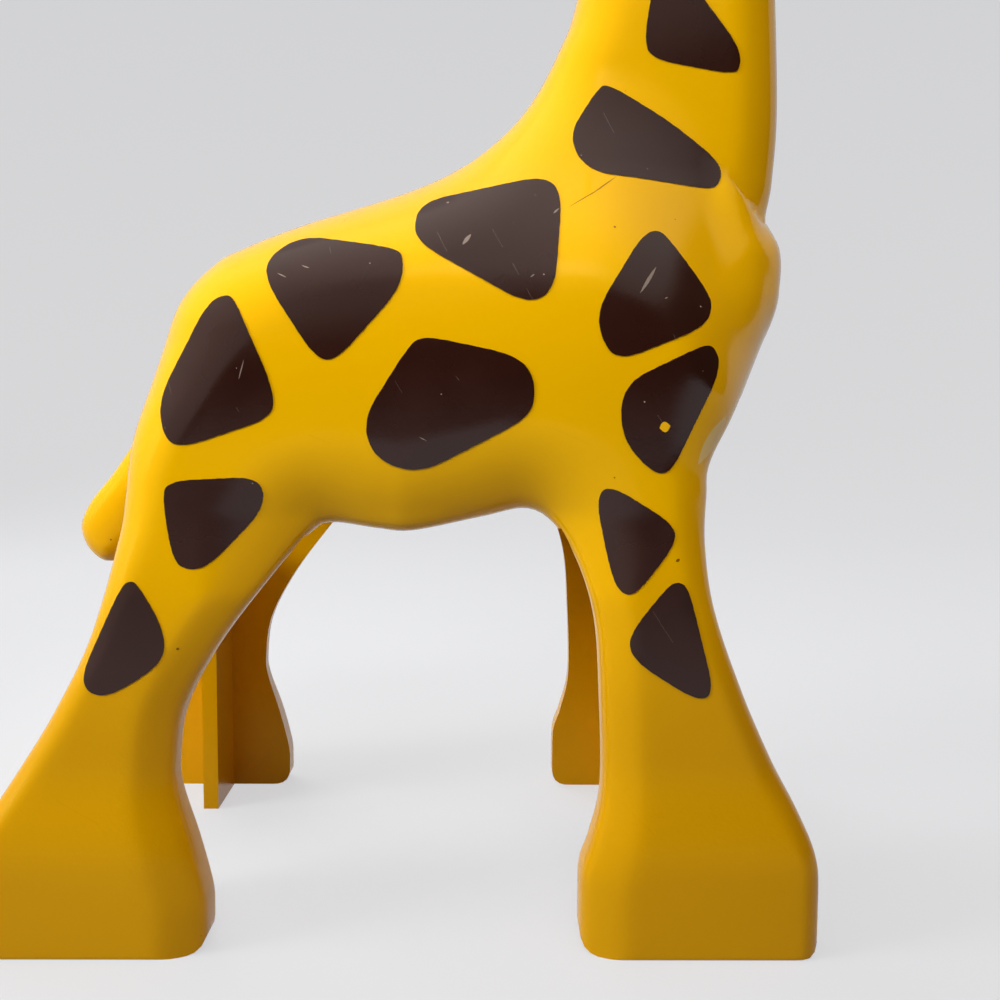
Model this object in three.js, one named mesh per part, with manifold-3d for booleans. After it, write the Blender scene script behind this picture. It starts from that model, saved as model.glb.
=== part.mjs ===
// A small toy giraffe, moulded in yellow plastic as two half shells that meet on the middle
// plane and printed with dark brown patches. Its four flat feet straddle two rows of building
// studs. Millimetres, +X towards the head, +Y to its left, +Z up, soles on Z 0.

import * as THREE from "three";
import { mergeVertices } from "three/addons/utils/BufferGeometryUtils.js";
import Module from "manifold-3d";

const wasm = await Module();
wasm.setup();

// Driving sizes of the figure
const FEET_PITCH = 32.6;
const FOOT_LENGTH = 12.7;
const FOOT_BAND = 4.6;
const BELLY_HEIGHT = 22.4;
const TORSO_DEPTH = 20;
const NECK_RISE = 36.2;

// Widths across the figure, from the gap that grips the studs outwards
const GRIP_WIDTH = 25.4;
const FOOT_WALL = 3.2;
const ANKLE_WALL = 2.5;
const FLANK_WALL = 1.7;
const BODY_CROWN = 1.6;
const NECK_WIDTH = 13;
const NECK_TOP_WIDTH = 11.2;
const HEAD_WIDTH = 14;
const MUZZLE_WIDTH = 10;

// Shell walls and rounded edges
const WALL = 1.7;
const SOLE_CORNER = 1.2;
const SOLE_ROUND = 0.15;
const FOOT_BEVEL = 2.6;
const LEG_BEVEL = 2.1;
const BEVEL_DEPTH = 1;
const BELLY_BEVEL = 5;
const BELLY_DEPTH = 2;
const FOOT_ROUND = 1.1;
const LEG_ROUND = 1.4;
const THIGH_ROUND = 2.6;
const BODY_ROUND = 5;
const NECK_ROUND = 3.2;
const SHOULDER_ROUND = 1.5;
const NECK_FLARE = 2;
const NECK_BLEND = 11.5;

// Ribs inside the legs
const RIB_THICKNESS = 1.05;
const RIB_GAP = 14.4;
const RIB_OFFSET = 1.6;

// Pins that line the halves up, the tail, the ears and the ossicones
const PIN_DIAMETER = 2.2;
const PIN_LENGTH = 3;
const PIN_CLEARANCE = 0.3;
const BOSS_DIAMETER = 4.8;
const TAIL_WIDTH = 4.4;
const TAIL_ROUND = 1.4;
const TAIL_TAB_WIDTH = 3.4;
const TAIL_TAB_HEIGHT = 2.8;
const TAIL_TAB_DEPTH = 2.4;
const TAIL_FLANGE = 1.2;
const TAIL_CLEARANCE = 0.3;
const EAR_LENGTH = 6.4;
const EAR_HEIGHT = 3.8;
const EAR_THICKNESS = 2;
const OSSICONE_STEM = 2.8;
const OSSICONE_KNOB = 4.2;
const OSSICONE_HEIGHT = 6.6;
const OSSICONE_SPACING = 6;
const OSSICONE_CLEARANCE = 0.3;

// Printed patches, drawn as thin films just off the skin
const FILM_GAP = 0.12;
const FILM_THICKNESS = 0.18;
const PATCH_CORNER = 1.4;
const EYE_HEIGHT = 3.4;
const EYE_WIDTH = 2.6;
const GLINT_DIAMETER = 0.9;
const NOSTRIL_DIAMETER = 1.1;

// Mesh steps and one overrun for all cuts
const OUTLINE_STEP = 2;
const SKIN_STEP = 3.2;
const CAVITY_STEP = 4.2;
const MAX_TURN = 0.42;
const MAX_HALVINGS = 5;
const LEAST_INSET = 0.2;
const CREASE_COLUMNS = 16;
const OVERRUN = 2;

// Sizes that follow from the driving ones
const HALF_PITCH = FEET_PITCH / 2;
const HALF_FOOT = FOOT_LENGTH / 2;
const GRIP_HALF = GRIP_WIDTH / 2;
const WITHERS_HEIGHT = BELLY_HEIGHT + TORSO_DEPTH;
const MAX_HALF_WIDTH = GRIP_HALF + FOOT_WALL;

// Outlines as shares. In a body list the first share counts in half pitches from the middle of
// the feet, in a leg list in foot lengths from the foot's own centre. The second is the level:
// 0 the ground, 1 the belly, 2 the withers, 3 the crown of the head.
const REAR_LEG_FRONT_SHARES = [
  [0.49, 0.145], [0.44, 0.255], [0.375, 0.375], [0.365, 0.445], [0.4, 0.575],
];
const BELLY_SHARES = [
  [-0.58, 0.725], [-0.418, 0.882], [-0.287, 0.992], [-0.215, 1.02], [-0.06, 1.005], [0.055, 1],
  [0.28, 1.037], [0.43, 1.06], [0.525, 1.015], [0.602, 0.92], [0.654, 0.79],
];
const FRONT_LEG_BACK_SHARES = [
  [-0.42, 0.615], [-0.41, 0.39], [-0.455, 0.265], [-0.495, 0.195],
];
const FRONT_LEG_FRONT_SHARES = [[0.49, 0.23], [0.415, 0.34], [0.305, 0.46], [0.175, 0.625]];
const SHOULDER_FRONT_SHARES = [[1.045, 0.815], [1.018, 0.97], [1.026, 1.1]];
const CHEST_SHARES = [
  [1.042, 1.19], [1.16, 1.36], [1.303, 1.575], [1.342, 1.69], [1.346, 1.79], [1.312, 1.872],
  [1.325, 1.94], [1.335, 1.995], [1.347, 2.1], [1.334, 2.285], [1.32, 2.43],
];
const HEAD_SHARES = [
  [1.345, 2.555], [1.435, 2.63], [1.595, 2.665], [1.9, 2.675], [2.035, 2.705], [2.06, 2.775],
  [1.95, 2.835], [1.655, 2.885], [1.35, 2.965], [1.135, 3], [0.945, 2.985], [0.8, 2.915],
  [0.74, 2.82], [0.73, 2.65], [0.7, 2.485],
];
const BACK_SHARES = [
  [0.612, 2.285], [0.552, 2.21], [0.457, 2.128], [0.342, 2.064], [0.18, 2.004], [-0.01, 1.93],
  [-0.335, 1.835], [-0.53, 1.765], [-0.627, 1.717], [-0.745, 1.6], [-0.82, 1.4],
  [-0.873, 1.24], [-0.887, 1.09],
];
const THIGH_BACK_SHARES = [[-0.904, 0.98], [-0.98, 0.76]];
const REAR_LEG_BACK_SHARES = [[-0.133, 0.575], [-0.297, 0.425], [-0.45, 0.285], [-0.49, 0.225]];
const UNDERSIDE_SHARES = [
  [-0.78, 1.04], [-0.6, 1.01], [-0.3, 1.01], [-0.215, 1.02], [0.055, 1], [0.28, 1.04],
  [0.43, 1.06], [0.6, 1.06], [0.85, 1.085], [0.98, 1.125],
];
const CHANNEL_ROOF_SHARES = [
  [-0.96, 1.14], [-0.89, 1.13], [-0.78, 1.035], [-0.6, 1.005], [-0.3, 0.985], [0.055, 0.975],
  [0.3, 0.985], [0.5, 1], [0.7, 1.04], [0.85, 1.075], [0.98, 1.12], [1.12, 1.2],
];
const TAIL_SHARES = [
  [-0.8, 1.43], [-0.955, 1.34], [-1.062, 1.205], [-1.142, 1.11], [-1.23, 1.02],
  [-1.268, 0.948], [-1.235, 0.88], [-1.155, 0.847], [-1.055, 0.905], [-0.965, 1.03],
  [-0.8, 1.16],
];

// The patches of one side, each with its corners as body shares. The last four lie on the
// upper neck.
const PATCH_SHARES = {
  neck_base: [
    [0.71, 2.135], [0.932, 2.075], [1.115, 2.012], [1.095, 1.952], [1.04, 1.946], [0.63, 1.97],
    [0.565, 2.045], [0.675, 2.127],
  ],
  neck_low: [
    [0.87, 2.305], [0.98, 2.305], [1.165, 2.197], [1.177, 2.167], [1.152, 2.152], [0.87, 2.174],
    [0.835, 2.2],
  ],
  withers: [
    [0.052, 1.8], [0.078, 1.886], [0.482, 1.957], [0.538, 1.908], [0.507, 1.632], [0.42, 1.598],
    [0.095, 1.745],
  ],
  loin: [
    [-0.315, 1.785], [-0.41, 1.725], [-0.41, 1.66], [-0.245, 1.455], [-0.18, 1.45], [0.025, 1.64],
    [0.03, 1.727], [-0.015, 1.745],
  ],
  rump: [
    [-0.535, 1.622], [-0.5, 1.602], [-0.383, 1.388], [-0.375, 1.305], [-0.675, 1.222],
    [-0.73, 1.25], [-0.757, 1.35], [-0.595, 1.6],
  ],
  flank: [
    [0.09, 1.517], [0.045, 1.485], [-0.1, 1.297], [-0.06, 1.195], [0.08, 1.158], [0.415, 1.3],
    [0.45, 1.35], [0.44, 1.425], [0.375, 1.47],
  ],
  shoulder: [
    [0.851, 1.81], [0.79, 1.782], [0.643, 1.59], [0.655, 1.51], [0.71, 1.453], [0.99, 1.545],
    [1.028, 1.598], [1.015, 1.642], [0.891, 1.782],
  ],
  chest: [
    [1.025, 1.497], [0.98, 1.497], [0.725, 1.395], [0.72, 1.262], [0.815, 1.17], [0.882, 1.16],
    [1.05, 1.445],
  ],
  foreleg_upper: [
    [0.69, 1.135], [0.647, 1.1], [0.695, 0.92], [0.722, 0.87], [0.77, 0.86], [0.9, 0.98],
    [0.9, 1.03],
  ],
  foreleg_lower: [
    [0.915, 0.896], [0.88, 0.888], [0.75, 0.768], [0.768, 0.712], [0.975, 0.617], [1.03, 0.635],
    [0.945, 0.88],
  ],
  thigh: [
    [-0.722, 1.137], [-0.733, 1.085], [-0.7, 0.935], [-0.645, 0.915], [-0.58, 0.93],
    [-0.41, 1.07], [-0.425, 1.15],
  ],
  shank: [
    [-0.835, 0.893], [-0.865, 0.878], [-0.998, 0.667], [-0.957, 0.623], [-0.88, 0.63],
    [-0.722, 0.707], [-0.73, 0.785], [-0.81, 0.882],
  ],
  neck_mid_front: [[1.06, 2.29], [1.24, 2.32], [1.27, 2.42], [1.16, 2.45], [1.05, 2.39]],
  neck_mid_back: [[0.78, 2.36], [0.94, 2.36], [0.99, 2.46], [0.93, 2.53], [0.79, 2.51]],
  neck_high_front: [[1.06, 2.49], [1.23, 2.49], [1.27, 2.58], [1.2, 2.65], [1.06, 2.6]],
  neck_high_back: [[0.81, 2.57], [0.95, 2.59], [0.98, 2.69], [0.88, 2.74], [0.8, 2.68]],
};

// Places of the small pieces, as body shares
const PIN_SHARES = [[-0.42, 1.45], [0.78, 1.4], [1.03, 2.33], [1.2, 2.8]];
const TAIL_TAB_SHARE = [-0.86, 1.25];
const EYE_SHARE = [1.36, 2.84];
const GLINT_SHARE = [1.39, 2.86];
const NOSTRIL_SHARE = [1.9, 2.79];
const EAR_SHARE = [0.93, 2.87];
const OSSICONE_SHARE = [1.1, 2.99];
const REAR_RIB_TOP_SHARES = [0.73, 0.84];
const FRONT_RIB_TOP_SHARES = [1.13, 1.13];

// Where the neck rises behind the shoulder: the crease falls from its back end to the chest
const CREASE_BACK_SHARE = [0.61, 2.12];
const CREASE_FRONT_SHARE = [1.265, 1.87];
const CREASE_FADE_SHARE = 0.65;
const STEP_SHARE = 0.2;
const CREASE_POINT_SHARES = [-0.1, 1.1];
const CREASE_DROP_SHARES = [-0.14, 0, 0.03, 0.1, 0.24, 0.42, 0.63, 0.88];

// Levels between which one width gives way to the next, and where the muzzle narrows
const PASTERN_SHARE = 0.46;
const THIGH_SHARES = [0.62, 1.2];
const CROWN_SHARE = 1.4;
const NECK_TAPER_SHARES = [2.1, 2.6];
const HEAD_START_SHARES = [2.58, 2.76];
const MUZZLE_SHARES = [1.35, 2.05];
const BEVEL_SHARES = [0.45, 0.85, 1.05];
const ROUND_SHARES = [0.45, 0.8, 1.15, 1.5];
const LEG_BEVEL_POWER = 1.5;
const BELLY_BEVEL_POWER = 2.2;

const YELLOW = "#f5c400";
const BROWN = "#3a1d17";
const BLACK = "#181414";
const WHITE = "#f4f1ea";

function height(level) {
  const torso = THREE.MathUtils.clamp(level - 1, 0, 1);
  const neck = Math.max(level - 2, 0);
  return Math.min(level, 1) * BELLY_HEIGHT + torso * TORSO_DEPTH + neck * NECK_RISE;
}

function bodyPoint([along, level]) {
  return new THREE.Vector2(along * HALF_PITCH, height(level));
}

function legPoint(centre, [along, level]) {
  return new THREE.Vector2(centre + along * FOOT_LENGTH, height(level));
}

function mix(a, b, share) {
  return a + (b - a) * share;
}

// The sole of one foot: straight down the back, along the bottom and up the front
function addSole(path, centre) {
  const back = centre - HALF_FOOT;
  const front = centre + HALF_FOOT;
  path.lineTo(back, SOLE_CORNER);
  path.quadraticCurveTo(back, 0, back + SOLE_CORNER, 0);
  path.lineTo(front - SOLE_CORNER, 0);
  path.quadraticCurveTo(front, 0, front, SOLE_CORNER);
  path.lineTo(front, FOOT_BAND / 2);
}

const rearLegPoint = (share) => legPoint(-HALF_PITCH, share);
const frontLegPoint = (share) => legPoint(HALF_PITCH, share);

// Up the front of the rear leg, along the belly and down the back of the front leg
const archPoints = [
  ...REAR_LEG_FRONT_SHARES.map(rearLegPoint),
  ...BELLY_SHARES.map(bodyPoint),
  ...FRONT_LEG_BACK_SHARES.map(frontLegPoint),
  new THREE.Vector2(HALF_PITCH - HALF_FOOT, FOOT_BAND / 2),
];

// Up the front leg, the chest and the head, and back down to the rear leg
const outerPoints = [
  ...FRONT_LEG_FRONT_SHARES.map(frontLegPoint),
  ...SHOULDER_FRONT_SHARES.map(bodyPoint),
  ...CHEST_SHARES.map(bodyPoint),
  ...HEAD_SHARES.map(bodyPoint),
  ...BACK_SHARES.map(bodyPoint),
  ...THIGH_BACK_SHARES.map(bodyPoint),
  ...REAR_LEG_BACK_SHARES.map(rearLegPoint),
  new THREE.Vector2(-HALF_PITCH - HALF_FOOT, FOOT_BAND / 2),
];

// The whole side view, counter-clockwise from the back of the rear foot
function figurePath() {
  const path = new THREE.Path();
  path.moveTo(-HALF_PITCH - HALF_FOOT, FOOT_BAND / 2);
  addSole(path, -HALF_PITCH);
  path.splineThru(archPoints);
  addSole(path, HALF_PITCH);
  path.splineThru(outerPoints);
  return path;
}

// One edge between two feet, carried on below the ground, so that its bevel or round goes
// straight down to the sole
function edgeLine(points) {
  const end = points[points.length - 1];
  const path = new THREE.Path();
  path.moveTo(-end.x, -FOOT_LENGTH);
  path.lineTo(-end.x, end.y);
  path.splineThru(points);
  path.lineTo(end.x, -FOOT_LENGTH);
  return path.getSpacedPoints(Math.round((path.getLength() / OUTLINE_STEP) * 4));
}

// The side view without the legs, closed along the underside
function bodyPath() {
  const upper = [...CHEST_SHARES, ...HEAD_SHARES, ...BACK_SHARES];
  const points = [...UNDERSIDE_SHARES, ...upper, UNDERSIDE_SHARES[0]].map(bodyPoint);
  return new THREE.Path().moveTo(points[0].x, points[0].y).splineThru(points.slice(1));
}

// Points along a closed path, at even steps and closer together where it turns
function samplePath(path, step) {
  const fine = path.getSpacedPoints(Math.round((path.getLength() / step) * 8));
  const kept = [fine[0]];
  let last = 0;
  for (let i = 1; i < fine.length - 1; i++) {
    const run = fine[i].distanceTo(fine[last]);
    const before = fine[last + 1].clone().sub(fine[last]).angle();
    const after = fine[i + 1].clone().sub(fine[i]).angle();
    const turn = Math.abs(Math.atan2(Math.sin(after - before), Math.cos(after - before)));
    if (run >= step || (turn > MAX_TURN && run > step / 4)) {
      kept.push(fine[i]);
      last = i;
    }
  }
  const closing = kept[kept.length - 1].distanceTo(fine[0]);
  if (closing < step / 2) {
    kept.pop();
  }
  return kept;
}

function distanceTo(outline, x, z) {
  let best = Infinity;
  for (let i = 0; i < outline.length; i++) {
    const a = outline[i];
    const b = outline[(i + 1) % outline.length];
    const dx = b.x - a.x;
    const dz = b.y - a.y;
    const along = ((x - a.x) * dx + (z - a.y) * dz) / (dx * dx + dz * dz);
    const share = THREE.MathUtils.clamp(along, 0, 1);
    best = Math.min(best, Math.hypot(x - a.x - dx * share, z - a.y - dz * share));
  }
  return best;
}

function isInside(outline, x, z) {
  let inside = false;
  for (let i = 0, j = outline.length - 1; i < outline.length; j = i++) {
    const a = outline[i];
    const b = outline[j];
    if (a.y > z !== b.y > z && x < a.x + ((b.x - a.x) * (z - a.y)) / (b.y - a.y)) {
      inside = !inside;
    }
  }
  return inside;
}

// A point moved square to the outline, inwards for a positive distance
function insetPoint(outline, i, distance) {
  const before = outline[(i + outline.length - 1) % outline.length];
  const after = outline[(i + 1) % outline.length];
  const along = after.clone().sub(before).normalize();
  return new THREE.Vector2(outline[i].x - along.y * distance, outline[i].y + along.x * distance);
}

function insetOutline(outline, distance) {
  const reach = Math.abs(distance) * 0.97;
  return outline
    .map((point, i) => insetPoint(outline, i, distance))
    .filter((point) => distanceTo(outline, point.x, point.y) >= reach);
}

// Delaunay triangles of scattered points, adding one point at a time
function circleOf(points, corners) {
  const [a, b, c] = corners.map((i) => points[i]);
  const bx = b.x - a.x;
  const by = b.y - a.y;
  const cx = c.x - a.x;
  const cy = c.y - a.y;
  const double = 2 * (bx * cy - by * cx);
  const bb = bx * bx + by * by;
  const cc = cx * cx + cy * cy;
  const x = (cy * bb - by * cc) / double;
  const y = (bx * cc - cx * bb) / double;
  return { corners, x: a.x + x, y: a.y + y, square: x * x + y * y };
}

function delaunay(outline, inner) {
  const points = [...outline, ...inner];
  const box = new THREE.Box2().setFromPoints(points);
  const centre = box.getCenter(new THREE.Vector2());
  const reach = box.getSize(new THREE.Vector2()).length() * 10;
  const first = points.length;
  for (const turn of [0, 1, 2]) {
    const angle = (turn * Math.PI * 2) / 3;
    points.push(new THREE.Vector2(Math.cos(angle), Math.sin(angle)).multiplyScalar(reach).add(centre));
  }
  let triangles = [circleOf(points, [first, first + 1, first + 2])];
  for (let i = 0; i < first; i++) {
    const point = points[i];
    const kept = [];
    const edges = new Map();
    for (const triangle of triangles) {
      const square = (point.x - triangle.x) ** 2 + (point.y - triangle.y) ** 2;
      if (square > triangle.square) {
        kept.push(triangle);
        continue;
      }
      const [a, b, c] = triangle.corners;
      for (const [from, to] of [[a, b], [b, c], [c, a]]) {
        if (!edges.delete(`${to},${from}`)) {
          edges.set(`${from},${to}`, [from, to]);
        }
      }
    }
    for (const [from, to] of edges.values()) {
      kept.push(circleOf(points, [from, to, i]));
    }
    triangles = kept;
  }
  const middles = triangles
    .map((triangle) => triangle.corners)
    .filter((corners) => Math.max(...corners) < first)
    .filter((corners) => {
      const x = corners.reduce((sum, i) => sum + points[i].x, 0) / 3;
      const z = corners.reduce((sum, i) => sum + points[i].y, 0) / 3;
      return isInside(outline, x, z);
    });
  points.length = first;
  return { points, triangles: middles, rim: outline.length };
}

// A face whose whole outline is followed by its triangles. An outline edge that none of them
// has is halved, as often as it takes.
function closedFace(outline, inner) {
  let rim = outline;
  let face = delaunay(rim, inner);
  for (let turn = 0; turn < MAX_HALVINGS; turn++) {
    const edges = new Set();
    for (const [a, b, c] of face.triangles) {
      edges.add(`${a},${b}`).add(`${b},${c}`).add(`${c},${a}`);
    }
    const next = [];
    rim.forEach((point, i) => {
      const after = (i + 1) % rim.length;
      next.push(point);
      if (!edges.has(`${i},${after}`)) {
        next.push(point.clone().lerp(rim[after], 0.5));
      }
    });
    if (next.length === rim.length) {
      break;
    }
    rim = next;
    face = delaunay(rim, inner);
  }
  return face;
}

// How far the body's full width shows at a point: 0 on the neck, 1 well below the crease. The
// neck flares out into the body, and in front a small rounded step marks the crease.
function shoulderShare(x, z) {
  const smooth = THREE.MathUtils.smoothstep;
  const back = bodyPoint(CREASE_BACK_SHARE);
  const front = bodyPoint(CREASE_FRONT_SHARE);
  const along = THREE.MathUtils.clamp((x - back.x) / (front.x - back.x), 0, 1);
  const crease = mix(back.y, front.y, along ** 2);
  const slope = (2 * along * (front.y - back.y)) / (front.x - back.x);
  const below = (crease - z) / Math.hypot(1, slope);
  const flare = smooth(below, -NECK_FLARE, NECK_BLEND);
  const short = 1 - THREE.MathUtils.clamp(below / SHOULDER_ROUND, 0, 1);
  const step = STEP_SHARE * smooth(along, CREASE_FADE_SHARE, 1) * Math.sqrt(1 - short ** 2);
  return flare + (1 - flare) * step;
}

function neckHalfWidth(x, z) {
  const rise = THREE.MathUtils.smoothstep(z, ...NECK_TAPER_SHARES.map(height));
  const neck = mix(NECK_WIDTH, NECK_TOP_WIDTH, rise) / 2;
  const muzzle = THREE.MathUtils.smoothstep(x / HALF_PITCH, ...MUZZLE_SHARES);
  const head = mix(HEAD_WIDTH, MUZZLE_WIDTH, muzzle) / 2;
  return mix(neck, head, THREE.MathUtils.smoothstep(z, ...HEAD_START_SHARES.map(height)));
}

function halfWidth(x, z) {
  const smooth = THREE.MathUtils.smoothstep;
  const pastern = smooth(z, FOOT_BAND, height(PASTERN_SHARE));
  const leg = GRIP_HALF + mix(FOOT_WALL, ANKLE_WALL, pastern);
  const crownStart = height(CROWN_SHARE);
  const crown = Math.max(0, (z - crownStart) / (WITHERS_HEIGHT - crownStart));
  const trunk = GRIP_HALF + FLANK_WALL - BODY_CROWN * Math.min(crown, 1) ** 2;
  const side = mix(leg, trunk, smooth(z, ...THIGH_SHARES.map(height)));
  return mix(neckHalfWidth(x, z), side, shoulderShare(x, z));
}

// Heights with the width, depth and softness of the arch side's bevel, and with the outer
// edge's radius
const BEVELS = [
  [FOOT_BAND, FOOT_BEVEL, BEVEL_DEPTH, LEG_BEVEL_POWER],
  [height(BEVEL_SHARES[0]), LEG_BEVEL, BEVEL_DEPTH, LEG_BEVEL_POWER],
  [height(BEVEL_SHARES[1]), LEG_BEVEL, BEVEL_DEPTH, LEG_BEVEL_POWER],
  [height(BEVEL_SHARES[2]), BELLY_BEVEL, BELLY_DEPTH, BELLY_BEVEL_POWER],
];
const OUTER_ROUNDS = [
  [FOOT_BAND, FOOT_ROUND],
  [height(ROUND_SHARES[0]), LEG_ROUND],
  [height(ROUND_SHARES[1]), LEG_ROUND],
  [height(ROUND_SHARES[2]), THIGH_ROUND],
  [height(ROUND_SHARES[3]), BODY_ROUND],
];

// A value that a table gives for a height, with straight lines between its rows
function valueAt(rows, column, z) {
  for (let i = 1; i < rows.length; i++) {
    const low = rows[i - 1];
    const high = rows[i];
    if (z <= high[0]) {
      const share = THREE.MathUtils.clamp((z - low[0]) / (high[0] - low[0]), 0, 1);
      return mix(low[column], high[column], share);
    }
  }
  return rows[rows.length - 1][column];
}

function outerRadius(x, z) {
  return mix(NECK_ROUND, valueAt(OUTER_ROUNDS, 1, z), shoulderShare(x, z));
}

function rounded(half, radius, distance) {
  const inner = Math.max(radius - distance, 0);
  return half - radius + Math.sqrt(Math.max(radius * radius - inner * inner, 0));
}

function bevelled(half, z, distance) {
  const share = Math.max(1 - distance / valueAt(BEVELS, 1, z), 0);
  return half - valueAt(BEVELS, 2, z) * share ** valueAt(BEVELS, 3, z);
}

// How wide the bevel or round is that the nearest edge has at a point
function edgeReach(x, z) {
  const isArch = distanceTo(archLine, x, z) < distanceTo(outerLine, x, z);
  return isArch ? valueAt(BEVELS, 1, z) : outerRadius(x, z);
}

function skinHalfWidth(x, z) {
  const half = halfWidth(x, z);
  return Math.min(
    bevelled(half, z, distanceTo(archLine, x, z)),
    rounded(half, outerRadius(x, z), distanceTo(outerLine, x, z)),
    rounded(half, SOLE_ROUND, distanceTo(figureOutline, x, z)),
  );
}

function cavityRadius(x, z) {
  return Math.max(outerRadius(x, z) - WALL, WALL / 2);
}

// The hollow stays a wall inside the skin, also where the skin steps in at the crease
function cavityHalfWidth(outline, x, z) {
  let half = halfWidth(x, z);
  for (let turn = 0; turn < 8; turn++) {
    const angle = (turn * Math.PI) / 4;
    half = Math.min(half, halfWidth(x + WALL * Math.cos(angle), z + WALL * Math.sin(angle)));
  }
  const radius = cavityRadius(x, z);
  return rounded(half - WALL, radius, distanceTo(outline, x, z));
}

// Points for one face: rings beside the outline, where its edge is rounded, and a grid inside
function facePoints(outline, rings, step, radiusAt, extra) {
  const kept = [];
  const add = (point, least, apart) => {
    const clear = distanceTo(outline, point.x, point.y) > least;
    if (clear && isInside(outline, point.x, point.y)) {
      if (kept.every((other) => other.distanceTo(point) > apart)) {
        kept.push(point);
      }
    }
  };
  for (const point of extra) {
    add(point, LEAST_INSET * 2, step * 0.07);
  }
  for (const ring of rings) {
    outline.forEach((point, i) => {
      const depth = ring * radiusAt(point.x, point.y);
      if (depth > LEAST_INSET) {
        add(insetPoint(outline, i, depth), depth * 0.92, OUTLINE_STEP * 0.3);
      }
    });
  }
  const box = new THREE.Box2().setFromPoints(outline);
  const rowHeight = step * Math.sin(Math.PI / 3);
  let odd = 0;
  for (let z = box.min.y + rowHeight / 2; z < box.max.y; z += rowHeight) {
    for (let x = box.min.x + odd * step * 0.5; x < box.max.x; x += step) {
      add(new THREE.Vector2(x, z), radiusAt(x, z) + step * 0.3, step * 0.55);
    }
    odd = 1 - odd;
  }
  return kept;
}

function toSolid(positions, triangles) {
  const vertProperties = new Float32Array(positions);
  const triVerts = new Uint32Array(triangles);
  return new wasm.Manifold(new wasm.Mesh({ numProp: 3, vertProperties, triVerts }));
}

// A solid on the right of the middle plane, between two distances out from it
function lift(face, near, far) {
  const count = face.points.length;
  const positions = [];
  for (const depth of [far, near]) {
    face.points.forEach((point) => positions.push(point.x, -depth(point.x, point.y), point.y));
  }
  const triangles = [];
  for (const [a, b, c] of face.triangles) {
    triangles.push(a, b, c, count + c, count + b, count + a);
  }
  for (let i = 0; i < face.rim; i++) {
    const next = (i + 1) % face.rim;
    triangles.push(next, i, count + i, next, count + i, count + next);
  }
  return toSolid(positions, triangles);
}

function fromGeometry(geometry) {
  const bare = geometry.index ? geometry.toNonIndexed() : geometry;
  bare.deleteAttribute("normal");
  bare.deleteAttribute("uv");
  const merged = mergeVertices(bare);
  return toSolid(merged.attributes.position.array, merged.index.array);
}

// A side-view shape extruded across the figure, from one distance right of the middle to another
function prism(points, near, far) {
  const geometry = new THREE.ExtrudeGeometry(new THREE.Shape(points), {
    depth: far - near,
    bevelEnabled: false,
  });
  geometry.rotateX(Math.PI / 2);
  geometry.translate(0, -near, 0);
  return fromGeometry(geometry);
}

function post(place, diameter, near, far) {
  const geometry = new THREE.CylinderGeometry(diameter / 2, diameter / 2, far - near, 16);
  geometry.translate(place.x, -(near + far) / 2, place.y);
  return fromGeometry(geometry);
}

// Corners rounded off with a curve that starts at most half an edge away
function roundedPolygon(corners, reach) {
  const path = new THREE.Path();
  corners.forEach((corner, i) => {
    const before = corners[(i + corners.length - 1) % corners.length];
    const after = corners[(i + 1) % corners.length];
    const cutBefore = Math.min(reach, corner.distanceTo(before) * 0.5);
    const cutAfter = Math.min(reach, corner.distanceTo(after) * 0.5);
    const start = corner.clone().add(before.clone().sub(corner).setLength(cutBefore));
    const end = corner.clone().add(after.clone().sub(corner).setLength(cutAfter));
    if (i === 0) {
      path.moveTo(start.x, start.y);
    } else {
      path.lineTo(start.x, start.y);
    }
    path.quadraticCurveTo(corner.x, corner.y, end.x, end.y);
  });
  const points = path.getPoints(3);
  const apart = (point, i) => i === 0 || point.distanceTo(points[i - 1]) > reach / 40;
  return points.filter(apart);
}

function ellipsePoints(centre, width, tall) {
  const curve = new THREE.EllipseCurve(centre.x, centre.y, width / 2, tall / 2);
  return curve.getPoints(16).slice(0, -1);
}

const figureOutline = samplePath(figurePath(), OUTLINE_STEP);
const archLine = edgeLine(archPoints);
const outerLine = edgeLine(outerPoints);
const bodyOutline = samplePath(bodyPath(), OUTLINE_STEP);
const cavityOutline = insetOutline(bodyOutline, WALL);

// Extra points where the skin folds: along the crease and along the top of the foot bands
function foldPoints() {
  const back = bodyPoint(CREASE_BACK_SHARE);
  const front = bodyPoint(CREASE_FRONT_SHARE);
  const points = [];
  for (let column = 0; column <= CREASE_COLUMNS; column++) {
    const along = mix(...CREASE_POINT_SHARES, column / CREASE_COLUMNS);
    const crease = mix(back.y, front.y, Math.min(along, 1) ** 2);
    for (const drop of CREASE_DROP_SHARES) {
      points.push(new THREE.Vector2(mix(back.x, front.x, along), crease - drop * NECK_BLEND));
    }
  }
  for (const centre of [-HALF_PITCH, HALF_PITCH]) {
    for (const along of [-0.3, -0.1, 0.1, 0.3]) {
      points.push(new THREE.Vector2(centre + along * FOOT_LENGTH, FOOT_BAND));
    }
  }
  return points;
}

const skinFace = closedFace(
  figureOutline,
  facePoints(figureOutline, [0.134, 0.5, 1], SKIN_STEP, edgeReach, foldPoints()),
);
const cavityFace = closedFace(
  cavityOutline,
  facePoints(cavityOutline, [0.35, 1], CAVITY_STEP, cavityRadius, []),
);

const onSkin = (extra) => (x, z) => skinHalfWidth(x, z) + extra;

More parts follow.
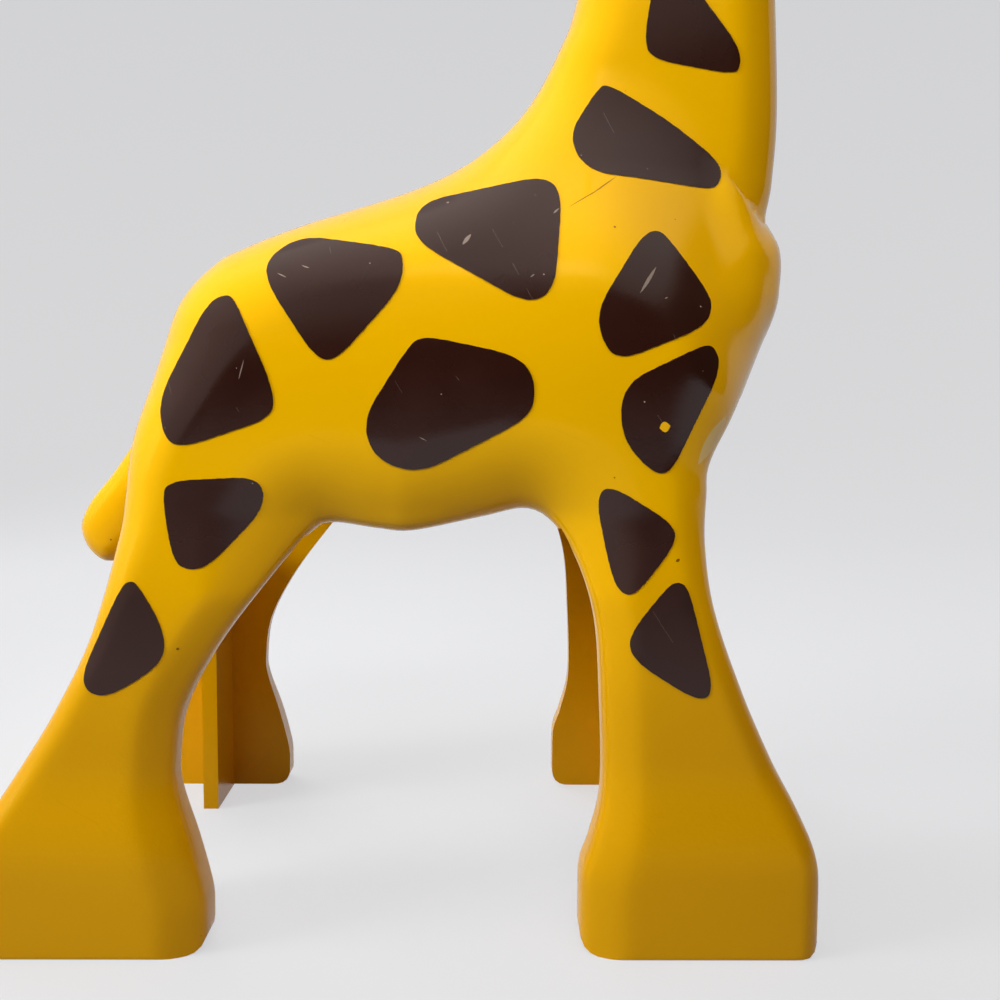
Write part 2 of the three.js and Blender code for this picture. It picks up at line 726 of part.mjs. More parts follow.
// The space under the belly between the left and right legs, which straddles the studs
function channel() {
  const roof = CHANNEL_ROOF_SHARES.map(bodyPoint);
  const reach = HALF_PITCH + FOOT_LENGTH;
  const points = [
    new THREE.Vector2(reach, -OVERRUN),
    new THREE.Vector2(reach, roof[roof.length - 1].y),
    ...roof.reverse(),
    new THREE.Vector2(-reach, roof[roof.length - 1].y),
    new THREE.Vector2(-reach, -OVERRUN),
  ];
  return prism(points, -OVERRUN, GRIP_HALF);
}

function legRib(direction, topShares) {
  const middle = direction * (HALF_PITCH - RIB_OFFSET);
  const back = middle - RIB_THICKNESS / 2;
  const front = middle + RIB_THICKNESS / 2;
  const points = [
    new THREE.Vector2(back, 0),
    new THREE.Vector2(front, 0),
    new THREE.Vector2(front, height(topShares[1])),
    new THREE.Vector2(back, height(topShares[0])),
  ];
  return prism(points, RIB_GAP / 2, GRIP_HALF + FLANK_WALL / 2);
}

function tailTab(clearance) {
  const centre = bodyPoint(TAIL_TAB_SHARE);
  const half = TAIL_TAB_HEIGHT / 2 + clearance;
  const inner = centre.x + WALL + TAIL_TAB_DEPTH + clearance;
  const outer = centre.x - WALL / 2;
  return [
    new THREE.Vector2(outer, centre.y - half),
    new THREE.Vector2(inner, centre.y - half),
    new THREE.Vector2(inner, centre.y + half),
    new THREE.Vector2(outer, centre.y + half),
  ];
}

function ossiconePlace() {
  return bodyPoint(OSSICONE_SHARE);
}

function ossiconeHole() {
  const place = ossiconePlace();
  const radius = OSSICONE_STEM / 2 + OSSICONE_CLEARANCE;
  const tall = WALL * 2 + OVERRUN * 2;
  const geometry = new THREE.CylinderGeometry(radius, radius, tall, 16);
  geometry.rotateX(Math.PI / 2);
  geometry.translate(place.x, -OSSICONE_SPACING / 2, place.y);
  return fromGeometry(geometry);
}

// One leaf-shaped ear, standing out and back from the side of the head
function ear() {
  const place = bodyPoint(EAR_SHARE);
  const geometry = new THREE.SphereGeometry(1, 12, 8);
  geometry.scale(EAR_THICKNESS / 2, EAR_LENGTH / 2, EAR_HEIGHT / 2);
  geometry.rotateZ(-Math.PI / 7);
  geometry.rotateX(-Math.PI / 12);
  const root = halfWidth(place.x, place.y) - WALL / 2;
  geometry.translate(place.x, -root - EAR_LENGTH * 0.3, place.y);
  return fromGeometry(geometry);
}

// One half of the body, built on the right of the middle plane
function halfShell(hasPins) {
  let solid = lift(skinFace, () => 0, onSkin(0)).subtract(channel());
  solid = solid.add(legRib(-1, REAR_RIB_TOP_SHARES)).add(legRib(1, FRONT_RIB_TOP_SHARES));
  solid = solid.add(ear());
  const hollow = (x, z) => cavityHalfWidth(cavityOutline, x, z);
  solid = solid.subtract(lift(cavityFace, () => -OVERRUN, hollow));
  for (const share of PIN_SHARES) {
    const place = bodyPoint(share);
    const wall = halfWidth(place.x, place.y) - WALL / 2;
    solid = solid.add(post(place, BOSS_DIAMETER, 0, wall));
    if (hasPins) {
      solid = solid.add(post(place, PIN_DIAMETER, -PIN_LENGTH, WALL));
    } else {
      const bore = PIN_DIAMETER + PIN_CLEARANCE * 2;
      solid = solid.subtract(post(place, bore, -OVERRUN, PIN_LENGTH + PIN_CLEARANCE));
    }
  }
  const slot = prism(tailTab(TAIL_CLEARANCE), -OVERRUN, TAIL_TAB_WIDTH / 2 + TAIL_CLEARANCE);
  return solid.subtract(slot).subtract(ossiconeHole());
}

// The tail: a flap outside, and a tab with a flange that the two halves close round
function tail() {
  const path = new THREE.Path();
  const points = TAIL_SHARES.map(bodyPoint);
  path.moveTo(points[0].x, points[0].y).splineThru(points.slice(1));
  path.lineTo(points[0].x, points[0].y);
  const outline = samplePath(path, OUTLINE_STEP * 0.7);
  const face = closedFace(
    outline,
    facePoints(outline, [0.3, 1], OUTLINE_STEP, () => TAIL_ROUND, []),
  );
  const side = (x, z) => rounded(TAIL_WIDTH / 2, TAIL_ROUND, distanceTo(outline, x, z));
  const flap = lift(face, (x, z) => -side(x, z), side);
  const grown = prism(insetOutline(bodyOutline, -TAIL_CLEARANCE), -TAIL_WIDTH, TAIL_WIDTH);
  const tab = tailTab(0);
  const flange = [
    new THREE.Vector2(tab[1].x - TAIL_FLANGE / 2, tab[1].y - TAIL_FLANGE / 2),
    new THREE.Vector2(tab[1].x + TAIL_FLANGE / 2, tab[1].y - TAIL_FLANGE / 2),
    new THREE.Vector2(tab[2].x + TAIL_FLANGE / 2, tab[2].y + TAIL_FLANGE / 2),
    new THREE.Vector2(tab[2].x - TAIL_FLANGE / 2, tab[2].y + TAIL_FLANGE / 2),
  ];
  return flap
    .subtract(grown)
    .add(prism(tab, -TAIL_TAB_WIDTH / 2, TAIL_TAB_WIDTH / 2))
    .add(prism(flange, -TAIL_WIDTH, TAIL_WIDTH));
}

// A short horn with a round knob, its stem pushed through the top of the head
function ossicone() {
  const place = ossiconePlace();
  const stem = OSSICONE_STEM / 2;
  const knob = OSSICONE_KNOB / 2;
  const knobCentre = OSSICONE_HEIGHT - knob;
  const profile = [new THREE.Vector2(0, -WALL * 1.5), new THREE.Vector2(stem, -WALL * 1.5)];
  for (let step = 0; step <= 6; step++) {
    const angle = mix(-Math.PI / 4, Math.PI / 2, step / 6);
    profile.push(new THREE.Vector2(knob * Math.cos(angle), knobCentre + knob * Math.sin(angle)));
  }
  profile[profile.length - 1].x = 0;
  const geometry = new THREE.LatheGeometry(profile, 16);
  geometry.rotateX(Math.PI / 2);
  geometry.translate(place.x, -OSSICONE_SPACING / 2, place.y);
  return fromGeometry(geometry);
}

// A solid as mesh geometry, on the right or mirrored to the left
function toGeometry(solid, side) {
  const mesh = solid.getMesh();
  const positions = Float32Array.from(mesh.vertProperties);
  const index = Array.from(mesh.triVerts);
  if (side === "left") {
    for (let i = 1; i < positions.length; i += 3) {
      positions[i] = -positions[i];
    }
    index.reverse();
  }
  const geometry = new THREE.BufferGeometry();
  geometry.setAttribute("position", new THREE.BufferAttribute(positions, 3));
  geometry.setIndex(index);
  return geometry;
}

const figure = new THREE.Group();

function addPiece(name, solid, side, colour, roughness) {
  const material = new THREE.MeshStandardMaterial({ color: colour, roughness, metalness: 0 });
  const mesh = new THREE.Mesh(toGeometry(solid, side), material);
  mesh.name = name;
  figure.add(mesh);
}

// The printed films share one thin layer that lies on the skin
function addPrints(side) {
  const layer = lift(skinFace, onSkin(FILM_GAP), onSkin(FILM_GAP + FILM_THICKNESS));
  const reach = MAX_HALF_WIDTH + OVERRUN;
  const print = (points) => layer.intersect(prism(points, 0, reach));
  for (const [name, shares] of Object.entries(PATCH_SHARES)) {
    const corners = roundedPolygon(shares.map(bodyPoint), PATCH_CORNER);
    addPiece(`${side}_patch_${name}`, print(corners), side, BROWN, 0.35);
  }
  const glintAt = bodyPoint(GLINT_SHARE);
  const gap = ellipsePoints(glintAt, GLINT_DIAMETER + FILM_GAP, GLINT_DIAMETER + FILM_GAP);
  const eye = print(ellipsePoints(bodyPoint(EYE_SHARE), EYE_WIDTH, EYE_HEIGHT));
  addPiece(`${side}_eye`, eye.subtract(prism(gap, 0, reach)), side, BLACK, 0.3);
  const glint = print(ellipsePoints(glintAt, GLINT_DIAMETER, GLINT_DIAMETER));
  addPiece(`${side}_eye_glint`, glint, side, WHITE, 0.3);
  const nostril = ellipsePoints(bodyPoint(NOSTRIL_SHARE), NOSTRIL_DIAMETER, NOSTRIL_DIAMETER);
  addPiece(`${side}_nostril`, print(nostril), side, BROWN, 0.35);
}

for (const side of ["right", "left"]) {
  addPiece(`${side}_shell`, halfShell(side === "left"), side, YELLOW, 0.25);
  addPiece(`${side}_ossicone`, ossicone(), side, BROWN, 0.3);
  addPrints(side);
}
addPiece("tail", tail(), "right", YELLOW, 0.25);

// The figure's origin is under the middle of its bounding box, on the ground
const box = new THREE.Box3().setFromObject(figure);
figure.position.set(-(box.min.x + box.max.x) / 2, -(box.min.y + box.max.y) / 2, -box.min.z);

export default figure;
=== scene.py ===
"""A small toy giraffe, moulded in yellow plastic as two half shells and printed with dark brown
patches. Its four flat feet straddle two rows of building studs."""

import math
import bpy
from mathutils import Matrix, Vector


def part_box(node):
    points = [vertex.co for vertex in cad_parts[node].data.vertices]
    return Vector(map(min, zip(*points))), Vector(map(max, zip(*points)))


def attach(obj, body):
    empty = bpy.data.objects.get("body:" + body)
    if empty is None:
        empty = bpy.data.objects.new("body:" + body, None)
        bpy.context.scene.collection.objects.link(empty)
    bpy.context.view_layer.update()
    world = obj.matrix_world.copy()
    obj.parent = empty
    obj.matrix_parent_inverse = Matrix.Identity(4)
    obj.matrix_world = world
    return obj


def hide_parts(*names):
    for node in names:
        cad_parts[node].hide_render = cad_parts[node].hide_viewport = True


bl_info = {
    "name": "Toy giraffe",
    "version": (1, 0, 0),
    "blender": (4, 5, 0),
    "location": "3D View > Sidebar > Giraffe",
    "description": "Builds a moulded plastic toy giraffe with printed patches",
    "category": "Add Mesh",
}

from functools import partial
from types import SimpleNamespace

import bpy
import numpy as np
from bpy.props import FloatProperty, FloatVectorProperty, PointerProperty
from mathutils import Matrix, Vector
from mathutils.geometry import delaunay_2d_cdt

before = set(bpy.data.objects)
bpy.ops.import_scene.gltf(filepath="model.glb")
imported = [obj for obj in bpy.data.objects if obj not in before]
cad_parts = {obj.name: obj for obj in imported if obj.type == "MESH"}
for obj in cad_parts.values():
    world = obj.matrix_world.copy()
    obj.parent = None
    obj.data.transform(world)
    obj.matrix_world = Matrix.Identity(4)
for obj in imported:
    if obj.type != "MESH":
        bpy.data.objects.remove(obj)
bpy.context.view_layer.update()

MM = 0.001

# Outlines of the side view as shares. In a body list the first share counts in half pitches
# from the middle of the feet, in a leg list in foot lengths from the foot's own centre. The
# second is the level: 0 the ground, 1 the belly, 2 the withers, 3 the crown of the head.
REAR_LEG_FRONT_SHARES = [
    (0.49, 0.145), (0.44, 0.255), (0.375, 0.375), (0.365, 0.445), (0.4, 0.575),
]
BELLY_SHARES = [
    (-0.58, 0.725), (-0.418, 0.882), (-0.287, 0.992), (-0.215, 1.02), (-0.06, 1.005),
    (0.055, 1), (0.28, 1.037), (0.43, 1.06), (0.525, 1.015), (0.602, 0.92), (0.654, 0.79),
]
FRONT_LEG_BACK_SHARES = [(-0.42, 0.615), (-0.41, 0.39), (-0.455, 0.265), (-0.495, 0.195)]
FRONT_LEG_FRONT_SHARES = [(0.49, 0.23), (0.415, 0.34), (0.305, 0.46), (0.175, 0.625)]
SHOULDER_FRONT_SHARES = [(1.045, 0.815), (1.018, 0.97), (1.026, 1.1)]
CHEST_SHARES = [
    (1.042, 1.19), (1.16, 1.36), (1.303, 1.575), (1.342, 1.69), (1.346, 1.79),
    (1.312, 1.872), (1.325, 1.94), (1.335, 1.995), (1.347, 2.1), (1.334, 2.285), (1.32, 2.43),
]
HEAD_SHARES = [
    (1.345, 2.555), (1.435, 2.63), (1.595, 2.665), (1.9, 2.675), (2.035, 2.705),
    (2.06, 2.775), (1.95, 2.835), (1.655, 2.885), (1.35, 2.965), (1.135, 3), (0.945, 2.985),
    (0.8, 2.915), (0.74, 2.82), (0.73, 2.65), (0.7, 2.485),
]
BACK_SHARES = [
    (0.612, 2.285), (0.552, 2.21), (0.457, 2.128), (0.342, 2.064), (0.18, 2.004),
    (-0.01, 1.93), (-0.335, 1.835), (-0.53, 1.765), (-0.627, 1.717), (-0.745, 1.6),
    (-0.82, 1.4), (-0.873, 1.24), (-0.887, 1.09),
]
THIGH_BACK_SHARES = [(-0.904, 0.98), (-0.98, 0.76)]
REAR_LEG_BACK_SHARES = [(-0.133, 0.575), (-0.297, 0.425), (-0.45, 0.285), (-0.49, 0.225)]
CHANNEL_ROOF_SHARES = [
    (-0.96, 1.14), (-0.89, 1.13), (-0.78, 1.035), (-0.6, 1.005), (-0.3, 0.985),
    (0.055, 0.975), (0.3, 0.985), (0.5, 1), (0.7, 1.04), (0.85, 1.075), (0.98, 1.12),
    (1.12, 1.2),
]
TAIL_SHARES = [
    (-0.8, 1.43), (-0.955, 1.34), (-1.062, 1.205), (-1.142, 1.11), (-1.23, 1.02),
    (-1.268, 0.948), (-1.235, 0.88), (-1.155, 0.847), (-1.055, 0.905), (-0.965, 1.03),
    (-0.8, 1.16),
]
MOUTH_SHARES = [(1.52, 2.715), (1.7, 2.728), (1.86, 2.722), (1.99, 2.742), (2.1, 2.765)]

# Corners of the patches of one side, as body shares
PATCH_SHARES = {
    "neck_base": [
        (0.71, 2.135), (0.932, 2.075), (1.115, 2.012), (1.095, 1.952), (1.04, 1.946),
        (0.63, 1.97), (0.565, 2.045), (0.675, 2.127),
    ],
    "neck_low": [
        (0.87, 2.305), (0.98, 2.305), (1.165, 2.197), (1.177, 2.167), (1.152, 2.152),
        (0.87, 2.174), (0.835, 2.2),
    ],
    "withers": [
        (0.052, 1.8), (0.078, 1.886), (0.482, 1.957), (0.538, 1.908), (0.507, 1.632),
        (0.42, 1.598), (0.095, 1.745),
    ],
    "loin": [
        (-0.315, 1.785), (-0.41, 1.725), (-0.41, 1.66), (-0.245, 1.455), (-0.18, 1.45),
        (0.025, 1.64), (0.03, 1.727), (-0.015, 1.745),
    ],
    "rump": [
        (-0.535, 1.622), (-0.5, 1.602), (-0.383, 1.388), (-0.375, 1.305), (-0.675, 1.222),
        (-0.73, 1.25), (-0.757, 1.35), (-0.595, 1.6),
    ],
    "flank": [
        (0.09, 1.517), (0.045, 1.485), (-0.1, 1.297), (-0.06, 1.195), (0.08, 1.158),
        (0.415, 1.3), (0.45, 1.35), (0.44, 1.425), (0.375, 1.47),
    ],
    "shoulder": [
        (0.851, 1.81), (0.79, 1.782), (0.643, 1.59), (0.655, 1.51), (0.71, 1.453),
        (0.99, 1.545), (1.028, 1.598), (1.015, 1.642), (0.891, 1.782),
    ],
    "chest": [
        (1.025, 1.497), (0.98, 1.497), (0.725, 1.395), (0.72, 1.262), (0.815, 1.17),
        (0.882, 1.16), (1.05, 1.445),
    ],
    "foreleg_upper": [
        (0.69, 1.135), (0.647, 1.1), (0.695, 0.92), (0.722, 0.87), (0.77, 0.86),
        (0.9, 0.98), (0.9, 1.03),
    ],
    "foreleg_lower": [
        (0.915, 0.896), (0.88, 0.888), (0.75, 0.768), (0.768, 0.712), (0.975, 0.617),
        (1.03, 0.635), (0.945, 0.88),
    ],
    "thigh": [
        (-0.722, 1.137), (-0.733, 1.085), (-0.7, 0.935), (-0.645, 0.915), (-0.58, 0.93),
        (-0.41, 1.07), (-0.425, 1.15),
    ],
    "shank": [
        (-0.835, 0.893), (-0.865, 0.878), (-0.998, 0.667), (-0.957, 0.623), (-0.88, 0.63),
        (-0.722, 0.707), (-0.73, 0.785), (-0.81, 0.882),
    ],
    "neck_mid_front": [(1.06, 2.29), (1.24, 2.32), (1.27, 2.42), (1.16, 2.45), (1.05, 2.39)],
    "neck_mid_back": [(0.78, 2.36), (0.94, 2.36), (0.99, 2.46), (0.93, 2.53), (0.79, 2.51)],
    "neck_high_front": [(1.06, 2.49), (1.23, 2.49), (1.27, 2.58), (1.2, 2.65), (1.06, 2.6)],
    "neck_high_back": [(0.81, 2.57), (0.95, 2.59), (0.98, 2.69), (0.88, 2.74), (0.8, 2.68)],
}

# Wear on the right side: both ends of each mark as body shares, and half its width in
# millimetres
INK_NICK_SHARES = [
    ((0.507, 1.843), (0.528, 1.859), 0.05), ((0.215, 1.752), (0.242, 1.782), 0.1),
    ((0.43, 1.667), (0.444, 1.675), 0.03), ((0.158, 1.878), (0.168, 1.88), 0.05),
    ((0.778, 1.628), (0.836, 1.701), 0.09), ((0.858, 1.616), (0.87, 1.62), 0.03),
    ((-0.372, 1.675), (-0.341, 1.663), 0.03), ((-0.296, 1.696), (-0.269, 1.688), 0.03),
    ((-0.47, 1.452), (-0.488, 1.399), 0.03), ((0.081, 1.255), (0.106, 1.245), 0.02),
]
INK_CHIP_SHARES = [((0.845, 1.282), (0.879, 1.288), 0.27)]
SKIN_CHIP_SHARES = [((1.078, 1.314), (0.978, 1.185), 0.36)]
SKIN_SCRATCH_SHARES = [
    ((0.556, 1.861), (0.676, 1.925), 0.025), ((0.63, 1.898), (0.727, 1.961), 0.03),
    ((0.903, 0.942), (0.916, 0.948), 0.08), ((-0.691, 0.733), (-0.68, 0.734), 0.07),
]

# Middles of the face's parts and of an ossicone, as body shares
EYE_SHARE = (1.36, 2.84)
GLINT_SHARE = (1.39, 2.86)
NOSTRIL_SHARE = (1.9, 2.79)
EAR_SHARE = (0.93, 2.87)
OSSICONE_SHARE = (1.1, 2.99)

# Levels of a rib's top, at its back and its front
REAR_RIB_TOP_SHARES = (0.73, 0.84)
FRONT_RIB_TOP_SHARES = (1.13, 1.13)

# Both ends of the crease as body shares, where along it the step begins, and the step's height
# as a share of the neck's whole widening
CREASE_BACK_SHARE = (0.61, 2.12)
CREASE_FRONT_SHARE = (1.265, 1.87)
CREASE_FADE_SHARE = 0.65
STEP_SHARE = 0.2

# Levels between which one width or edge gives way to the next, the muzzle's from back to front
# in half pitches, and the power of the bevel on the legs and on the belly
PASTERN_SHARE = 0.46
THIGH_SHARES = (0.62, 1.2)
CROWN_SHARE = 1.4
NECK_TAPER_SHARES = (2.1, 2.6)
HEAD_START_SHARES = (2.58, 2.76)
MUZZLE_SHARES = (1.35, 2.05)
BEVEL_SHARES = (0.45, 0.85, 1.05)
ROUND_SHARES = (0.45, 0.8, 1.15, 1.5)
BEVEL_POWERS = (1.5, 2.2)

# The mesh: steps of a curve, rings along an edge, and how far points stand apart, in
# millimetres or as shares of the room between rings or of a step
SPLINE_STEPS = 24
CORNER_STEPS = 12
EDGE_RINGS = 9
LEAST_APART = 0.06
MOST_APART = 0.25
ROW_CLEAR = 0.1
ARCH_RING_POWER = 0.8
RING_CLEAR_SHARE = 0.97
RING_APART_SHARE = 0.6
TAIL_CLEAR_SHARE = 0.96
TAIL_APART_SHARE = 0.3
FOLD_START_SHARE = -0.4
FOLD_APART_SHARE = 0.8
MOUTH_APART_SHARE = 0.3
SKIN_CLEAR_SHARE = 0.5
CREASE_DROPS = (
    0, 0.04, 0.14, 0.34, 0.65, 1.1, 1.7, 2.4, 3.2, 4, 4.9, 5.8, 6.8, 7.8, 8.8, 10, -0.15, -0.4,
    -0.8, -1.3,
)
MOUTH_OFFSETS = (0, -0.5, 0.5, -1, 1, -1.7, 1.7, -2.5, 2.5)

# How far a cut reaches past what it cuts, the angle from which an edge stays sharp, how close
# two points of a triangulation can lie, and its setting that leaves out what lies outside
OVERRUN = 2.0
SHARP_ANGLE = math.radians(32)
MESH_EPSILON = 1e-5
INSIDE_ONLY = 1

# The ink's mesh, and the waves along its edge: how many go round, their shift and their share
FILM_STEP = 0.4
FILM_CLEAR_SHARE = 0.45
INK_EDGE_STEP = 0.16
INK_WAVES = ((23, 1, 1), (41, 2, 0.7))
ELLIPSE_SIDES = 48

# A nostril's width and height, as shares of its diameter
NOSTRIL_SHARES = (1.2, 0.9)

# The ear's leaf, its hollow and how it sits in the head
EAR_RINGS = 24
EAR_SIDES = 32
EAR_LEAF_POWER = 0.85
EAR_FRONT_SHARES = (0.2, 0.9)
EAR_MIDDLE_SHARES = (0.35, 0.9)
EAR_ROOT_SHARES = (-0.2, 0.15)
EAR_DISH_SHARE = 0.75
EAR_SUNK_SHARE = 0.3
EAR_TILT = -math.pi / 12
EAR_SWEEP = -math.pi / 7

# The ossicone's stem, as shares of its radius at heights over the crown, and its knob
STEM_SHARES = ((1.12, 0.15), (1, 0.8), (0.94, 1.6))
KNOB_START = -math.pi / 4.5
KNOB_RINGS = 20
OSSICONE_SIDES = 48

# Scratches: how far apart their bends lie, how far they sway and how long they run, and how
# many waves a wave texture has in a length of pi
HAIRLINE_BEND = 6
HAIRLINE_SWAY = 0.8
HAIRLINE_RUN = 2.4
WAVES_IN_PI = 10

# Grain of the worn plastic and of the ink. The real one is finer than 0.1 mm and wouldn't show,
# so it is drawn this coarse
SATIN_GRAIN = 0.22
INK_GRAIN = 0.25

# Heights between which the yellow plastic and the ink turn from glossy to dull. Between the first
# two the yellow also deepens towards the feet, as painted shade
SATIN_AND_SHADE_LEVELS = (27 * MM, 11 * MM)
DULL_LEVELS = (30 * MM, 14 * MM)

# Soft boxes: name, power, place, width, what they aim at, and spread in degrees
SOFT_BOXES = (
    ("Key lamp", "key_power", (2, -100, 130), 50, (-8, -12, 47), 34),
    ("Side lamp", "side_power", (-150, -60, 80), 70, (-5, 0, 35), 60),
    ("Back lamp", "back_power", (-110, 150, 140), 160, (0, 10, 40), 120),
)

# The room's light: how its windows lean to the left, where they start, how much brighter it is
# on the left and overhead, and where the warm light starts on the right. A range is followed by
# what it becomes at both ends. Then come its share in reflections and its colours
WINDOW_LEAN = -0.65
WINDOW_RISE = (0.45, 0.55)
BRIGHT_LEFT = (-0.9, 0.9, 1.15, 0.6)
BRIGHT_OVERHEAD = (0.4, 1, 1, 2.2)
WARM_RIGHT = (0.1, 0.9, 0.04)
MIRRORED_RISE = 0.25
MIRRORED_WARMTH = 0.15
WARM_LIGHT = "#ffc89a"
WINDOW_LIGHT = "#fff6ee"
PALE_WALL = "#d6d6d7"

# The backdrop in millimetres, and how its paper looks
BACKDROP_FRONT = -500
BACKDROP_BACK = 320
BACKDROP_TOP = 700
BACKDROP_RADIUS = 180
BACKDROP_SIDE = 900
BACKDROP_STEPS = 16
PAPER_SHADE = 0.94
MIRRORED_GLOW = 0.85

# The camera's place from the middle of the feet, and its pitch, yaw and roll in degrees
CAMERA_PLACE = (4.8, -77.1, 30.0)
CAMERA_TURN = (5.24, -0.67, -0.39)
SENSOR_WIDTH = 36
CLIP_DISTANCES = (0.002, 10)


def length(name, description, millimetres):
    """A size of the figure."""
    default = millimetres * MM
    return FloatProperty(name=name, description=description, default=default, unit="LENGTH")


class GiraffeSizes(bpy.types.PropertyGroup):
    """Sizes of the figure"""

    feet_pitch: length("Feet pitch", "Rear foot centre to front foot centre", 32.6)
    foot_length: length("Foot length", "Each foot, front to back", 12.7)
    foot_band: length("Foot band", "Height of the straight part of a foot", 4.6)
    belly_height: length("Belly height", "Ground to the lowest point of the belly", 22.4)
    torso_depth: length("Torso depth", "Belly to withers", 20)
    neck_rise: length("Neck rise", "Withers to the crown of the head", 36.2)
    grip_width: length("Grip width", "Between the inner faces of the left and right feet", 25.4)
    foot_wall: length("Foot wall", "Thickness of a foot, left to right", 3.2)
    ankle_wall: length("Ankle wall", "Thickness of a leg where it is narrowest", 2.5)
    flank_wall: length("Flank wall", "How far the flank stands outside the grip width", 1.7)
    body_crown: length("Body crown", "How far the sides lean in, flank to withers", 1.6)
    neck_width: length("Neck width", "Neck at its foot, left to right", 13)
    neck_top_width: length("Neck top width", "Neck under the head, left to right", 11.2)
    head_width: length("Head width", "Head at the eyes, left to right", 14)
    muzzle_width: length("Muzzle width", "Head at the nostrils, left to right", 10)
    sole_corner: length("Sole corner", "Rounded corner of a foot in the side view", 1.2)
    sole_round: length("Sole round", "Small round along the sole's edge", 0.15)
    foot_bevel: length("Foot bevel", "Bevel on the arch side of a foot, from the side", 2.6)
    leg_bevel: length("Leg bevel", "Bevel on the arch side of a leg, from the side", 2.1)
    rim_round: length("Rim round", "Small round at the foot of the bevel", 0.5)
    bevel_depth: length("Bevel depth", "How far the legs' bevels go in", 1)
    belly_bevel: length("Belly bevel", "Soft bevel along the belly, from the side", 5)
    belly_depth: length("Belly depth", "How far the belly's bevel goes in", 2)
    foot_round: length("Foot round", "Round of a foot's front or back edge", 1.1)
    leg_round: length("Leg round", "Round of a leg's front or back edge", 1.4)
    thigh_round: length("Thigh round", "Round of the edges at the thighs", 2.6)
    body_round: length("Body round", "Round of the back's and the chest's edges", 5)
    neck_round: length("Neck round", "Round of the neck's and the head's edges", 3.2)
    shoulder_round: length("Shoulder round", "Round of the small step at the crease", 1.5)
    neck_flare: length("Neck flare", "Above the crease, where the neck starts to widen", 2)
    neck_blend: length("Neck blend", "Below the crease, where the body is full", 11.5)
    rib_thickness: length("Rib thickness", "Rib inside each leg", 1.05)
    rib_gap: length("Rib gap", "Between the left and right ribs", 14.4)
    rib_offset: length("Rib offset", "Foot centre to rib, towards the middle", 1.6)
    tail_width: length("Tail width", "Tail flap, left to right", 4.4)
    tail_round: length("Tail round", "Round of the tail's edges", 1.4)
    ear_length: length("Ear length", "Ear from root to tip", 6.4)
    ear_height: length("Ear height", "Ear at its widest", 3.8)
    ear_thickness: length("Ear thickness", "Ear, front to back", 2)
    ossicone_stem: length("Ossicone stem", "Diameter of an ossicone's stem", 2.8)
    ossicone_knob: length("Ossicone knob", "Diameter of an ossicone's knob", 4.2)
    ossicone_height: length("Ossicone height", "Crown of the head to the top of the knob", 6.6)
    ossicone_spacing: length("Ossicone spacing", "Left ossicone to right ossicone", 6)
    wall: length("Wall", "Thickness of the moulded shells", 1.7)
    seam: length("Seam", "Small chamfer where the two halves meet", 0.07)
    ink: length("Ink", "How far the printed ink stands on the skin", 0.05)
    ink_root: length("Ink root", "How far the printed film reaches into the skin", 0.05)
    ink_waver: length("Ink waver", "How far the edge of the ink strays", 0.012)
    patch_corner: length("Patch corner", "Over which a patch's corner is rounded", 1.4)
    eye_height: length("Eye height", "Printed eye, top to bottom", 3.4)
    eye_width: length("Eye width", "Printed eye, front to back", 2.6)
    glint_diameter: length("Glint", "White dot in the eye", 0.9)
    nostril_diameter: length("Nostril", "Printed nostril", 1.1)
    mouth_depth: length("Mouth depth", "Depth of the moulded mouth line", 0.28)
    mouth_width: length("Mouth width", "Half the width of the moulded mouth line", 0.3)
    outline_step: length("Outline step", "Mesh step along the side view's outline", 0.4)
    skin_step: length("Skin step", "Mesh step over the sides", 0.6)
    fold_step: length("Fold step", "Mesh step along the crease and the mouth", 0.25)


def linear(hex_colour):
    """An sRGB hex colour as linear red, green, blue and alpha."""
    channels = [int(hex_colour[i : i + 2], 16) / 255 for i in (1, 3, 5)]
    return [c / 12.92 if c <= 0.04045 else ((c + 0.055) / 1.055) ** 2.4 for c in channels] + [1]


def tint(name, description, hex_colour):
    """A colour of a plastic or an ink, written as sRGB hex."""
    return FloatVectorProperty(
        name=name, description=description, size=4, subtype="COLOR",
        default=linear(hex_colour), min=0, max=1,
    )


class GiraffeFinishes(bpy.types.PropertyGroup):
    """Colours of the plastics and inks"""

    yellow: tint("Yellow", "Moulded yellow plastic", "#f7be00")
    # This deeper yellow is painted shade on the lower legs, darker towards the feet, and random tone
    # in the plastic elsewhere
    shade_and_tone_yellow: tint("Deep yellow", "Yellow plastic where it is worn and thin", "#e0a500")
    scuffed_yellow: tint("Scuffed yellow", "Where the plastic was rubbed pale", "#f2d58a")
    speck: tint("Speck", "Ink specks and dirt on the yellow", "#8a5a10")
    brown: tint("Brown", "Brown ink and brown plastic", "#28110c")
    worn_brown: tint("Worn brown", "Brown ink where it is thin", "#351a13")
    dust: tint("Dust", "Pale dust and hairline scratches on the ink", "#a8988c")
    black: tint("Black", "Ink of the eyes", "#151212")
    white: tint("White", "Ink of the glints", "#f1ede4")
    backdrop: tint("Backdrop", "Floor and backdrop", "#828385")


def strength(name, description, default, unit="NONE"):
    """How strong a light is."""
    return FloatProperty(name=name, description=description, default=default, min=0, unit=unit)


class GiraffeStage(bpy.types.PropertyGroup):
    """Camera, lamps and floor"""

    focal_length: FloatProperty(
        name="Focal length", description="Camera lens on a 36 mm sensor, in millimetres",
        default=43.56, min=1,
    )
    key_power: strength("Key lamp", "Soft box above in front, on the upper body", 0.0058, "POWER")
    side_power: strength("Side lamp", "Soft box on the left, for the edges there", 0.028, "POWER")
    back_power: strength("Back lamp", "Soft box behind the figure on the left", 0.13, "POWER")
    sky: strength("Sky", "Strength of the room's light from above", 0.5)
    mirrored_sky: strength("Mirrored sky", "How bright that light shows in reflections", 0.55)
    warmth: strength("Warmth", "Strength of the warm light low down on the right", 0.35)
    glow: strength("Backdrop glow", "How much paler the camera sees the backdrop", 0.6)


